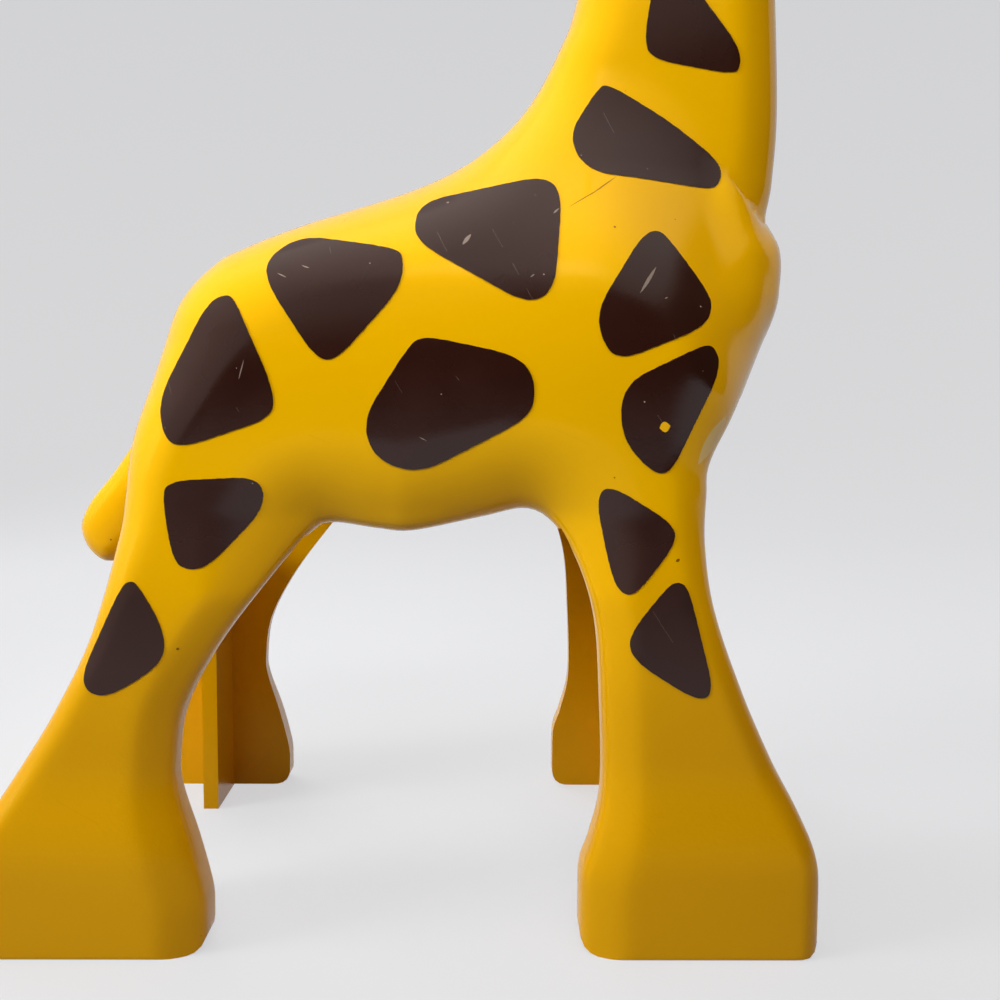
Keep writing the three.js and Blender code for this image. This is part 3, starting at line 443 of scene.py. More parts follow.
def mix(low, high, share):
    return low + (high - low) * share


def smoothstep(value, low, high):
    share = np.clip((value - low) / (high - low), 0, 1)
    return share * share * (3 - 2 * share)


def in_millimetres(group):
    """A property group's lengths as plain numbers."""
    names = type(group).__annotations__
    return SimpleNamespace(**{name: getattr(group, name) / MM for name in names})


def spline(points):
    """A smooth curve through points, without its last one."""
    padded = np.vstack((points[:1], points, points[-1:]))
    share = np.linspace(0, 1, SPLINE_STEPS, endpoint=False)[:, None]
    runs = []
    for before, start, end, after in zip(padded, padded[1:], padded[2:], padded[3:]):
        leave = (end - before) / 2
        arrive = (after - start) / 2
        cubic = (2 * start - 2 * end + leave + arrive) * share**3
        square = (3 * end - 3 * start - 2 * leave - arrive) * share**2
        runs.append(cubic + square + leave * share + start)
    return np.vstack(runs)


def resampled(points, step, closed=True):
    """A line cut into even steps. A closed one goes back to its start."""
    if closed:
        points = np.vstack((points, points[:1]))
    run = np.concatenate(([0], np.cumsum(np.hypot(*np.diff(points, axis=0).T))))
    even = np.linspace(0, run[-1], round(run[-1] / step), endpoint=not closed)
    return np.column_stack([np.interp(even, run, column) for column in points.T])


def distance_to(line, points, closed=True):
    """How far each point lies from a line through the given corners."""
    best = np.full(len(points), np.inf)
    ends = np.roll(line, -1, axis=0) if closed else line[1:]
    for start, end in zip(line, ends):
        run = end - start
        share = np.clip((points - start) @ run / (run @ run), 0, 1)
        gap = points - start - share[:, None] * run
        best = np.minimum(best, (gap * gap).sum(axis=1))
    return np.sqrt(best)


def is_inside(outline, points):
    x, z = points.T
    odd = np.zeros(len(points), bool)
    for (ax, az), (bx, bz) in zip(outline, np.roll(outline, 1, axis=0)):
        if az != bz:
            crosses = (az > z) != (bz > z)
            odd ^= crosses & (x < ax + (bx - ax) * (z - az) / (bz - az))
    return odd


def well_inside(outline, points, clear):
    """The points inside an outline that lie clear of it."""
    points = points[is_inside(outline, points)]
    return points[distance_to(outline, points) > clear]


def staggered_grid(outline, step, clear):
    """Points in even triangles inside an outline."""
    low = outline.min(axis=0)
    high = outline.max(axis=0)
    xs, zs = np.meshgrid(
        np.arange(low[0], high[0], step), np.arange(low[1], high[1], step * math.sqrt(0.75))
    )
    xs[1::2] += step / 2
    return well_inside(outline, np.column_stack((xs.ravel(), zs.ravel())), clear)


def inward(outline):
    """A unit direction at each corner of a counter-clockwise outline, towards its inside."""
    along = np.roll(outline, -1, axis=0) - np.roll(outline, 1, axis=0)
    along /= np.hypot(*along.T)[:, None]
    return np.column_stack((-along[:, 1], along[:, 0]))


def rounded(half, radius, gap):
    """Half a width whose edge is a quarter circle."""
    short = np.maximum(radius - gap, 0)
    return half - radius + np.sqrt(np.maximum(radius**2 - short**2, 0))


def bevelled(half, width, depth, power, gap):
    """Half a width whose edge is a bevel, which starts the softer the higher its power is."""
    return half - depth * np.clip(1 - gap / width, 0, 1) ** power


class Figure:
    """The whole figure as half a width over its side view, in millimetres"""

    def __init__(self, sizes):
        self.size = in_millimetres(sizes)
        self.half_pitch = self.size.feet_pitch / 2
        self.half_grip = self.size.grip_width / 2
        self.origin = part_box("right_shell")[0].x / MM + self.half_pitch + self.size.foot_length / 2
        half_foot = self.size.foot_length / 2
        self.arch = self.edge_line(half_foot - self.half_pitch, self.lower_points())
        self.outer = self.edge_line(half_foot + self.half_pitch, self.upper_points())
        self.outline = self.side_view()
        self.mouth = spline(self.body_points(MOUTH_SHARES))

    def height(self, level):
        torso = np.clip(np.asarray(level) - 1, 0, 1) * self.size.torso_depth
        neck = np.maximum(np.asarray(level) - 2, 0) * self.size.neck_rise
        return np.minimum(level, 1) * self.size.belly_height + torso + neck

    def body_points(self, shares):
        along, level = np.array(shares, float).T
        return np.column_stack((along * self.half_pitch, self.height(level)))

    def leg_points(self, side, shares):
        along, level = np.array(shares, float).T
        x = side * self.half_pitch + along * self.size.foot_length
        return np.column_stack((x, self.height(level)))

    def lower_points(self):
        """Up the front of the rear leg, along the belly and down the back of the front leg."""
        return np.vstack((
            self.leg_points(-1, REAR_LEG_FRONT_SHARES),
            self.body_points(BELLY_SHARES),
            self.leg_points(1, FRONT_LEG_BACK_SHARES),
        ))

    def upper_points(self):
        """Up the front leg, the chest and the head, and back down to the rear leg."""
        return np.vstack((
            self.leg_points(1, FRONT_LEG_FRONT_SHARES),
            self.body_points(SHOULDER_FRONT_SHARES + CHEST_SHARES + HEAD_SHARES),
            self.body_points(BACK_SHARES + THIGH_BACK_SHARES),
            self.leg_points(-1, REAR_LEG_BACK_SHARES),
        ))

    def edge_line(self, start, points):
        """A line between two feet that goes on below the ground, so the feet keep its bevel."""
        band = self.size.foot_band / 2
        ends = spline(np.vstack(([(start, band)], points, [(-start, band)])))
        below = -self.size.foot_length
        return np.vstack(([(start, below)], ends, [(-start, band), (-start, below)]))

    def sole(self, side):
        """Straight down the back of one foot, along the bottom and up the front."""
        back = side * self.half_pitch - self.size.foot_length / 2
        front = back + self.size.foot_length
        corner = self.size.sole_corner
        share = np.linspace(0, 1, CORNER_STEPS)
        heel = np.column_stack((back + corner * share**2, corner * (1 - share) ** 2))
        toe = np.column_stack((front - corner * (1 - share) ** 2, corner * share**2))
        return np.vstack(([(back, self.size.foot_band / 2)], heel, toe))

    def side_view(self):
        """The outline, counter-clockwise from the back of the rear foot."""
        whole = np.vstack((self.sole(-1), self.arch[1:-2], self.sole(1), self.outer[1:-2]))
        return resampled(whole, self.size.outline_step)

    def crease_height(self, x):
        """Where the shoulder starts, and 0 at its back end to 1 in front."""
        back, front = self.body_points([CREASE_BACK_SHARE, CREASE_FRONT_SHARE])
        along = np.clip((x - back[0]) / (front[0] - back[0]), 0, 1)
        return mix(back[1], front[1], along**2), along

    def shoulder_share(self, x, z):
        """0 on the neck, 1 where the shoulder has its full width below the crease."""
        size = self.size
        crease, along = self.crease_height(x)
        back, front = self.body_points([CREASE_BACK_SHARE, CREASE_FRONT_SHARE])
        slope = 2 * along * (front[1] - back[1]) / (front[0] - back[0])
        below = (crease - z) / np.hypot(1, slope)
        crisp = smoothstep(along, CREASE_FADE_SHARE, 1)
        flare = smoothstep(below, -size.neck_flare, size.neck_blend)
        short = 1 - np.clip(below / size.shoulder_round, 0, 1)
        return flare + (1 - flare) * crisp * STEP_SHARE * np.sqrt(1 - short**2)

    def neck_half_width(self, x, z):
        rise = smoothstep(z, *self.height(NECK_TAPER_SHARES))
        neck = mix(self.size.neck_width, self.size.neck_top_width, rise) / 2
        muzzle = smoothstep(x / self.half_pitch, *MUZZLE_SHARES)
        head = mix(self.size.head_width, self.size.muzzle_width, muzzle) / 2
        return mix(neck, head, smoothstep(z, *self.height(HEAD_START_SHARES)))

    def half_width(self, x, z):
        """Half the width over the flat of the side, before the edges are rounded."""
        pastern = smoothstep(z, self.size.foot_band, self.height(PASTERN_SHARE))
        leg = self.half_grip + mix(self.size.foot_wall, self.size.ankle_wall, pastern)
        start = self.height(CROWN_SHARE)
        crown = np.clip((z - start) / (self.height(2) - start), 0, 1)
        trunk = self.half_grip + self.size.flank_wall - self.size.body_crown * crown**2
        side = mix(leg, trunk, smoothstep(z, *self.height(THIGH_SHARES)))
        return mix(self.neck_half_width(x, z), side, self.shoulder_share(x, z))

    def bevel(self, z):
        """Width, depth and power of the bevel on the arch side."""
        size = self.size
        heights = [size.foot_band, *self.height(BEVEL_SHARES)]
        width = np.interp(
            z, heights, [size.foot_bevel, size.leg_bevel, size.leg_bevel, size.belly_bevel]
        )
        depth = np.interp(z, heights[2:], [size.bevel_depth, size.belly_depth])
        return width, depth, np.interp(z, heights[2:], BEVEL_POWERS)

    def edge_radius(self, x, z):
        """Radius of the edges on the outer side."""
        size = self.size
        heights = [size.foot_band, *self.height(ROUND_SHARES)]
        radii = [
            size.foot_round, size.leg_round, size.leg_round, size.thigh_round, size.body_round,
        ]
        return mix(size.neck_round, np.interp(z, heights, radii), self.shoulder_share(x, z))

    def skin(self, points):
        """Half the width of the skin at points of the side view."""
        x, z = points.T
        half = self.half_width(x, z)
        gap = distance_to(self.arch, points, closed=False)
        sides = (
            rounded(bevelled(half, *self.bevel(z), gap), self.size.rim_round, gap),
            rounded(half, self.edge_radius(x, z), distance_to(self.outer, points, closed=False)),
            rounded(half, self.size.sole_round, distance_to(self.outline, points)),
        )
        mouth = distance_to(self.mouth, points, closed=False) / self.size.mouth_width
        return np.min(sides, axis=0) - self.size.mouth_depth * np.exp(-(mouth**2))


class Thinner:
    """Keeps points that stand far enough from those kept before"""

    def __init__(self, cell):
        self.cell = cell
        self.cells = {}
        self.kept = []

    def add(self, points, apart):
        for (x, z), least in zip(points.tolist(), np.broadcast_to(apart, len(points)).tolist()):
            column, row = int(x // self.cell), int(z // self.cell)
            near = (
                other
                for i in (column - 1, column, column + 1)
                for j in (row - 1, row, row + 1)
                for other in self.cells.get((i, j), ())
            )
            if all(math.hypot(x - ox, z - oz) >= least for ox, oz in near):
                self.cells.setdefault((column, row), []).append((x, z))
                self.kept.append((x, z))


def face_points(figure):
    """Points over the side view: rings where its edge is rounded, its folds, and a grid."""
    size = figure.size
    outline = figure.outline
    inner = inward(outline)
    on_arch = distance_to(figure.arch, outline, closed=False) < size.outline_step / 4
    width, *_ = figure.bevel(outline[:, 1])
    radius = np.where(on_arch, width, figure.edge_radius(*outline.T))
    thinner = Thinner(size.skin_step)
    thinner.add(outline, 0)
    last = np.zeros(len(outline))
    for turn in np.linspace(0, math.pi / 2, EDGE_RINGS + 1)[1:]:
        depth = radius * (1 - math.cos(turn))
        depth[on_arch] = radius[on_arch] * (1 - math.cos(turn)) ** ARCH_RING_POWER
        fits = depth - last > LEAST_APART
        ring = outline[fits] + inner[fits] * depth[fits, None]
        room = depth[fits] * RING_CLEAR_SHARE
        clear = is_inside(outline, ring) & (distance_to(outline, ring) > room)
        apart = np.minimum((depth - last)[fits] * RING_APART_SHARE, MOST_APART)
        thinner.add(ring[clear], apart[clear])
        last[fits] = depth[fits]
    back, front = figure.body_points([CREASE_BACK_SHARE, CREASE_FRONT_SHARE])
    start = mix(back[0], front[0], FOLD_START_SHARE)
    xs = np.arange(start, outline[:, 0].max(), size.fold_step)
    crease, _ = figure.crease_height(xs)
    for drop in CREASE_DROPS:
        row = well_inside(outline, np.column_stack((xs, crease - drop)), ROW_CLEAR)
        thinner.add(row, min(abs(drop) + LEAST_APART, size.fold_step) * FOLD_APART_SHARE)
    line = resampled(figure.mouth, size.fold_step, closed=False)
    for offset in MOUTH_OFFSETS:
        row = well_inside(outline, line + (0, offset * size.mouth_width), ROW_CLEAR)
        thinner.add(row, size.mouth_width * MOUTH_APART_SHARE)
    grid = staggered_grid(outline, size.skin_step, size.skin_step * SKIN_CLEAR_SHARE)
    thinner.add(grid, size.skin_step * RING_APART_SHARE)
    return np.array(thinner.kept[len(outline) :])


def triangulated(rim, inner):
    """Triangles over a closed outline and the points inside it."""
    count = len(rim)
    points = [Vector(p) for p in [*rim.tolist(), *inner.tolist()]]
    edges = [(i, (i + 1) % count) for i in range(count)]
    found, _, faces, origins, _, _ = delaunay_2d_cdt(points, edges, [], INSIDE_ONLY, MESH_EPSILON)
    places = {}
    for index, sources in enumerate(origins):
        for source in sources:
            places[source] = index
    order = [places[i] for i in range(count)]
    return SimpleNamespace(points=np.array([tuple(p) for p in found]), faces=faces, rim=order)


def at_width(points, half):
    """Corners at points of the side view, at distances right of the middle plane."""
    x, z = points.T
    return np.column_stack((x, np.broadcast_to(-half, len(x)), z))


def lifted(face, far, near):
    """A solid over a triangulated face, between two distances right of the middle plane."""
    count = len(face.points)
    faces = [tuple(f) for f in face.faces]
    faces += [tuple(count + i for i in reversed(f)) for f in face.faces]
    for start, end in zip(face.rim, face.rim[1:] + face.rim[:1]):
        faces.append((end, start, count + start, count + end))
    return np.vstack((at_width(face.points, far), at_width(face.points, near))), faces


def half_solid(figure, face):
    """One half of the body, solid, with a small chamfer round its flat face."""
    seam = figure.size.seam
    outline = face.points[face.rim]
    flat = triangulated(outline + inward(outline) * seam, np.empty((0, 2)))
    corners = np.vstack((
        at_width(face.points, figure.skin(face.points)),
        at_width(outline, seam),
        at_width(flat.points, 0),
    ))
    count, rim = len(face.points), len(outline)
    faces = [tuple(f) for f in face.faces]
    for i in range(rim):
        after = (i + 1) % rim
        faces.append((face.rim[after], face.rim[i], count + i, count + after))
        inner_start, inner_end = count + rim + flat.rim[i], count + rim + flat.rim[after]
        faces.append((count + after, count + i, inner_start, inner_end))
    faces += [tuple(count + rim + i for i in reversed(f)) for f in flat.faces]
    return corners, faces


def prism(points, near, far):
    """A side-view shape from one distance right of the middle plane to another."""
    return lifted(triangulated(points, np.empty((0, 2))), far, near)


def make_object(name, corners, faces, figure, side):
    """A mesh object from corners in millimetres, on the right or mirrored to the left."""
    placed = np.array(corners) + (figure.origin, 0, 0)
    if side == "left":
        placed = placed * (1, -1, 1)
        faces = [tuple(reversed(f)) for f in faces]
    mesh = bpy.data.meshes.new(name)
    mesh.from_pydata((placed * MM).tolist(), [], faces)
    mesh.validate()
    thing = bpy.data.objects.new(name, mesh)
    bpy.context.scene.collection.objects.link(thing)
    return thing


def combine(target, tool, operation):
    """Cuts a tool from a target or joins it on, and removes the tool."""
    modifier = target.modifiers.new(operation, "BOOLEAN")
    modifier.object = tool
    modifier.operation = operation
    modifier.solver = "MANIFOLD"
    bpy.context.view_layer.update()
    evaluated = target.evaluated_get(bpy.context.evaluated_depsgraph_get())
    mesh = bpy.data.meshes.new_from_object(evaluated)
    target.modifiers.clear()
    target.data = mesh
    bpy.data.objects.remove(tool)


def finish_piece(thing, material, slot, *nodes):
    """Smooths a piece, gives it its finish and lets it stand for its CAD nodes."""
    if len(thing.data.polygons) == 0:
        raise RuntimeError(f"{thing.name} came out empty")
    thing.data.name = thing.name
    thing.data.materials.clear()
    thing.data.materials.append(material)
    thing.data.shade_smooth()
    thing.data.set_sharp_from_angle(angle=SHARP_ANGLE)
    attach(thing, "root")
    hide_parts(*nodes)
    return thing


def channel(figure):
    """The space under the belly between the left and right legs, which straddles the studs."""
    roof = figure.body_points(CHANNEL_ROOF_SHARES)
    reach = figure.half_pitch + figure.size.foot_length
    points = np.vstack((
        [(-reach, -OVERRUN), (reach, -OVERRUN), (reach, roof[-1, 1])],
        roof[::-1],
        [(-reach, roof[-1, 1])],
    ))
    return prism(points, -OVERRUN, figure.half_grip)


def leg_rib(figure, direction, top_shares):
    size = figure.size
    middle = direction * (figure.half_pitch - size.rib_offset)
    back = middle - size.rib_thickness / 2
    front = middle + size.rib_thickness / 2
    tops = figure.height(top_shares)
    points = np.array([(back, 0), (front, 0), (front, tops[1]), (back, tops[0])])
    return prism(points, size.rib_gap / 2, figure.half_grip + size.flank_wall / 2)


def ring_faces(rings, sides):
    """Faces over rings of corners that lie between two end points."""
    faces = []
    last = 1 + (rings - 1) * sides
    for j in range(sides):
        after = (j + 1) % sides
        faces.append((0, 1 + j, 1 + after))
        faces.append((last + sides, last + after, last + j))
        for i in range(rings - 1):
            low = 1 + i * sides
            faces.append((low + j, low + sides + j, low + sides + after, low + after))
    return faces


def ear(figure):
    """A leaf-shaped ear with a shallow hollow in front, standing out and back from the head."""
    size = figure.size
    place = figure.body_points([EAR_SHARE])[0]
    root = figure.half_width(*place) - size.wall / 2
    corners = [(0, size.ear_length / 2, 0)]
    for i in range(1, EAR_RINGS):
        turn = math.pi * i / EAR_RINGS
        along = math.cos(turn) * size.ear_length / 2
        leaf = math.sin(turn) ** EAR_LEAF_POWER
        outward = smoothstep(-along / size.ear_length, *EAR_ROOT_SHARES)
        for j in range(EAR_SIDES):
            angle = 2 * math.pi * j / EAR_SIDES
            tall = leaf * size.ear_height / 2 * math.sin(angle)
            thick = leaf * size.ear_thickness / 2 * math.cos(angle)
            dish = smoothstep(math.cos(angle), *EAR_FRONT_SHARES)
            dish *= smoothstep(leaf, *EAR_MIDDLE_SHARES)
            corners.append((thick * (1 - EAR_DISH_SHARE * dish * outward), along, tall))
    corners.append((0, -size.ear_length / 2, 0))
    turn = Matrix.Rotation(EAR_TILT, 3, "X") @ Matrix.Rotation(EAR_SWEEP, 3, "Z")
    shift = Vector((place[0], -root - size.ear_length * EAR_SUNK_SHARE, place[1]))
    corners = np.array([turn @ Vector(corner) + shift for corner in corners])
    return corners, ring_faces(EAR_RINGS - 1, EAR_SIDES)


def patch_outline(corners, reach, waver, phase):
    """A polygon with rounded corners, whose edge strays a little as printed ink does."""
    runs = []
    share = np.linspace(0, 1, CORNER_STEPS)[:, None]
    for before, corner, after in zip(
        np.roll(corners, 1, axis=0), corners, np.roll(corners, -1, axis=0)
    ):
        start, end = (
            corner + side * min(reach / np.hypot(*side), 0.5)
            for side in (before - corner, after - corner)
        )
        runs.append(start * (1 - share) ** 2 + 2 * corner * share * (1 - share) + end * share**2)
    outline = resampled(np.vstack(runs), INK_EDGE_STEP)
    if np.sum(inward(outline) * (outline.mean(axis=0) - outline)) < 0:
        outline = outline[::-1].copy()
    turn = np.arange(len(outline)) * 2 * math.pi / len(outline)
    stray = sum(share * np.sin(turn * waves + shift * phase) for waves, shift, share in INK_WAVES)
    return outline + inward(outline) * (stray * waver / 2)[:, None]


def printed_film(node, outline, figure, side, material, slot, hole=None):
    """Ink on the skin, following it closely."""
    size = figure.size
    grid = staggered_grid(outline, FILM_STEP, FILM_STEP * FILM_CLEAR_SHARE)
    face = triangulated(outline, grid)
    skin = figure.skin(face.points)
    solid = lifted(face, skin + size.ink, skin - size.ink_root)
    film = make_object(f"{node}_ink_{side}", *solid, figure, side)
    if hole is not None:
        tool = make_object("hole", *prism(hole, 0, figure.half_grip), figure, side)
        combine(film, tool, "DIFFERENCE")
    return finish_piece(film, material, slot, f"{side}_{node}")


def ellipse(centre, width, tall):
    turn = np.linspace(0, 2 * math.pi, ELLIPSE_SIDES, endpoint=False)
    x, z = centre
    return np.column_stack((x + width / 2 * np.cos(turn), z + tall / 2 * np.sin(turn)))


def add_node(tree, kind, inputs=(), **settings):
    """Adds a node with its settings. Its inputs come by name or in their order, each as a value,
    an output, or a node whose first output is linked. Those of a MapRange are in the order value,
    its lowest, its highest, and what these become."""
    node = tree.nodes.new("ShaderNode" + kind)
    for name, value in settings.items():
        setattr(node, name, value)
    for socket, value in inputs.items() if isinstance(inputs, dict) else enumerate(inputs):
        if isinstance(value, bpy.types.Node):
            value = next(output for output in value.outputs if output.enabled)
        if isinstance(value, bpy.types.NodeSocket):
            tree.links.new(value, node.inputs[socket])
        else:
            node.inputs[socket].default_value = value
    return node


def node_adder(owner):
    """Clears the nodes of a material or a world, and gives what adds new ones to it."""
    owner.use_nodes = True
    owner.node_tree.nodes.clear()
    return partial(add_node, owner.node_tree)


def new_material(name):
    """A material, what adds its nodes, and places on the piece itself."""
    material = bpy.data.materials.new(name)
    add = node_adder(material)
    return material, add, add("TexCoord").outputs["Object"]


def per_mm(spacing):
    """The scale that gives a texture features of a size in millimetres."""
    return 1 / (spacing * MM)


def specks(add, place, spacing, radius, share):
    """1 in small round specks, at a share of the points that lie a spacing apart, in mm."""
    cells = add("TexVoronoi", {"Vector": place, "Scale": per_mm(spacing)}).outputs
    chosen = add("SeparateColor", [cells["Color"]]).outputs["Red"]
    grown = add("MapRange", (chosen, 1 - share, 1, 0, radius / spacing))
    return add("Math", (cells["Distance"], grown), operation="LESS_THAN")


def hairlines(add, place, direction, spacing, width, share):
    """1 along scratches that bend a little, and come and go. Real ones are finer still and
    wouldn't show, so these are as coarse as they need to be."""
    turned = add("Mapping", {"Vector": place, "Rotation": direction})
    bent = add("TexNoise", {"Vector": turned, "Scale": per_mm(HAIRLINE_BEND), "Detail": 1})
    sway = {0: bent.outputs["Color"], "Scale": HAIRLINE_SWAY * MM}
    moved = add("VectorMath", (turned, add("VectorMath", sway, operation="SCALE")))
    scale = per_mm(spacing) * math.pi / WAVES_IN_PI
    lines = add("TexWave", {"Vector": moved, "Scale": scale}, wave_profile="TRI").outputs["Fac"]
    thin = add("Math", (lines, 1 - width / spacing), operation="GREATER_THAN")
    rare = add("TexNoise", {"Vector": place, "Scale": per_mm(HAIRLINE_RUN), "Detail": 1})
    here = add("Math", (rare, 1 - share), operation="GREATER_THAN")
    return add("Math", (thin, here), operation="MULTIPLY")


def wear_marks(add, place, shares):
    """1 on marks with pointed ends on the right side, each from one place to another."""
    figure = Figure(bpy.context.scene.giraffe_sizes)
    marks = 0
    for start, end, half_width in shares:
        (x, z), (end_x, end_z) = (figure.body_points([start, end]) + (figure.origin, 0)) * MM
        reach = Vector((end_x - x, 0, end_z - z))
        offset = add("VectorMath", (place, (x, 0, z)), operation="SUBTRACT")
        flat = add("VectorMath", (offset, (1, 0, 1)), operation="MULTIPLY")
        passed = add("VectorMath", (flat, reach / reach.length_squared), operation="DOT_PRODUCT")
        along = add("Clamp", [passed])
        nearest = add("VectorMath", {0: reach, "Scale": along}, operation="SCALE")
        gap = add("VectorMath", (flat, nearest), operation="DISTANCE")
        left = add("Math", (1, along), operation="SUBTRACT")
        swell = add("Math", (along, left), operation="MULTIPLY")
        reached = add("Math", (swell, 4 * half_width * MM), operation="MULTIPLY")
        mark = add("Math", (gap, reached), operation="LESS_THAN")
        marks = add("Math", (marks, mark), operation="MAXIMUM")
    across = add("SeparateXYZ", [place]).outputs["Y"]
    right = add("Math", (across, 0), operation="LESS_THAN")
    return add("Math", (marks, right), operation="MULTIPLY")


def overlaid(add, colour, *coats):
    """A colour with others over it, each through a mask from 0 to 1."""
    for mask, coat in coats:
        colour = add("Mix", {0: mask, 6: colour, 7: coat}, data_type="RGBA").outputs[2]
    return colour


def moulded_yellow_abs(finishes):
    """Injection-moulded ABS from a polished mould: an even, saturated body colour and clear
    reflections on the body. The legs are handled most and have worn to a fine satin grain, and
    their yellow is painted deeper towards the feet as painted shade."""
    material, add, place = new_material("Yellow ABS, injection moulded")
    level = add("SeparateXYZ", [place]).outputs["Z"]
    legs = add("MapRange", (level, *SATIN_AND_SHADE_LEVELS), interpolation_type="SMOOTHSTEP")
    cloud = add("TexNoise", {"Vector": place, "Scale": per_mm(14), "Detail": 3})
    # Painted shade: the lower legs get the deeper yellow, more so towards the feet. The cloud adds
    # random tone all over
    painted_shade_and_tone = add("Math", (legs, 0.75, 0.05), operation="MULTIPLY_ADD")
    painted_shade_and_tone = add("Math", (cloud, 0.3, painted_shade_and_tone), operation="MULTIPLY_ADD")
    dirt = specks(add, place, spacing=1.2, radius=0.07, share=0.18)
    scratch = hairlines(add, place, (0.4, 0.9, 1.1), spacing=4, width=0.014, share=0.37)
    faint = add("Math", (scratch, 0.15), operation="MULTIPLY")
    colour = overlaid(
        add, finishes.yellow, (painted_shade_and_tone, finishes.shade_and_tone_yellow), (dirt, finishes.speck),
        (faint, finishes.speck), (wear_marks(add, place, SKIN_SCRATCH_SHARES), finishes.speck),
        (wear_marks(add, place, SKIN_CHIP_SHARES), finishes.scuffed_yellow),
    )
    satin = add("MapRange", (legs, 0, 1, 0.1, 0.21))
    rough = add("Math", (cloud, 0.05, satin), operation="MULTIPLY_ADD")
    grain = add("TexNoise", {"Vector": place, "Scale": per_mm(SATIN_GRAIN), "Detail": 2})
    raised = add("MapRange", (legs, 0, 1, 0.04, 0.4))
    bump = add("Bump", {"Strength": raised, "Distance": 0.03 * MM, "Height": grain})
    shader = add("BsdfPrincipled", {
        "Base Color": colour, "Roughness": rough, "Normal": bump, "IOR": 1.53,
        "Specular Tint": (1, 0.74, 0.18, 1),
    })
    add("OutputMaterial", [shader])
    return material


def moulded_brown_abs(finishes):
    """Injection-moulded ABS in dark brown: a smooth, glossy knob with faint rub marks."""
    material, add, place = new_material("Brown ABS, injection moulded")
    cloud = add("TexNoise", {"Vector": place, "Scale": per_mm(2.5), "Detail": 3})
    dust = specks(add, place, spacing=0.9, radius=0.06, share=0.25)
    colour = overlaid(add, finishes.brown, (cloud, finishes.worn_brown), (dust, finishes.dust))
    rough = add("MapRange", (cloud, 0.3, 0.7, 0.16, 0.3))
    shader = add("BsdfPrincipled", {"Base Color": colour, "Roughness": rough, "IOR": 1.53})
    add("OutputMaterial", [shader])
    return material


def pad_printed_brown_ink(finishes):
    """Pad-printed ink: a thin, even, semi-gloss film that takes dust and hairline scratches and
    wears a little thin in places."""
    material, add, place = new_material("Brown ink, pad printed")
    cloud = add("TexNoise", {"Vector": place, "Scale": per_mm(3.5), "Detail": 4})
    dust = specks(add, place, spacing=0.75, radius=0.055, share=0.3)
    scratch = hairlines(add, place, (0.2, 0.5, 0.3), spacing=2.6, width=0.01, share=0.36)
    faint = add("Math", (scratch, 0.4), operation="MULTIPLY")
    nick = add("Math", (wear_marks(add, place, INK_NICK_SHARES), 0.6), operation="MULTIPLY")
    colour = overlaid(
        add, finishes.brown, (cloud, finishes.worn_brown), (dust, finishes.dust),
        (faint, finishes.dust), (nick, finishes.dust),
        (wear_marks(add, place, INK_CHIP_SHARES), finishes.yellow),
    )
    level = add("SeparateXYZ", [place]).outputs["Z"]
    dull = add("MapRange", (level, *DULL_LEVELS, 0.1, 0.34))
    rough = add("Math", (cloud, 0.1, dull), operation="MULTIPLY_ADD")
    grain = add("TexNoise", {"Vector": place, "Scale": per_mm(INK_GRAIN), "Detail": 2})
    bump = add("Bump", {"Strength": 0.12, "Distance": 0.02 * MM, "Height": grain})
    shader = add("BsdfPrincipled", {
        "Base Color": colour, "Roughness": rough, "Normal": bump, "IOR": 1.5,
    })
    add("OutputMaterial", [shader])
    return material


def pad_printed_eye_ink(name, colour, finishes):
    """Pad-printed ink for the eyes: smoother and glossier than the patches, with a little dust."""
    material, add, place = new_material(name)
    dust = specks(add, place, spacing=0.5, radius=0.03, share=0.2)
    colour = overlaid(add, colour, (dust, finishes.dust))
    cloud = add("TexNoise", {"Vector": place, "Scale": per_mm(1.2), "Detail": 2})
    rough = add("MapRange", (cloud, 0.3, 0.7, 0.12, 0.22))
    shader = add("BsdfPrincipled", {"Base Color": colour, "Roughness": rough, "IOR": 1.5})
    add("OutputMaterial", [shader])
    return material


def pale_backdrop(finishes, glow):
    """Matt paper. The camera and the reflections see it paler than it lights the figure, and it
    keeps the figure's shadow."""
    material, add, place = new_material("Backdrop paper, matt")
    fibre = add("TexNoise", {"Vector": place, "Scale": per_mm(60), "Detail": 3})
    shade = [channel * PAPER_SHADE for channel in finishes.backdrop[:3]] + [1]
    colour = overlaid(add, shade, (fibre, finishes.backdrop))
    path = add("LightPath").outputs
    seen = (path["Is Glossy Ray"], MIRRORED_GLOW, path["Is Camera Ray"])
    seen = add("Math", seen, operation="MULTIPLY_ADD")
    seen = add("Math", (seen, path["Is Transmission Ray"]), operation="MAXIMUM")
    shader = add("BsdfPrincipled", {
        "Base Color": colour, "Roughness": 0.95, "Emission Color": (0.95, 0.97, 1, 1),
        "Emission Strength": add("Math", (seen, glow), operation="MULTIPLY"),
    })
    add("OutputMaterial", [shader])
    return material


def shared_material(name, make, *inputs):
    """A material made once and then found by its name."""
    return bpy.data.materials.get(name) or make(*inputs)


def yellow_abs(finishes):
    return shared_material("Yellow ABS, injection moulded", moulded_yellow_abs, finishes)


def brown_ink(finishes):
    return shared_material("Brown ink, pad printed", pad_printed_brown_ink, finishes)


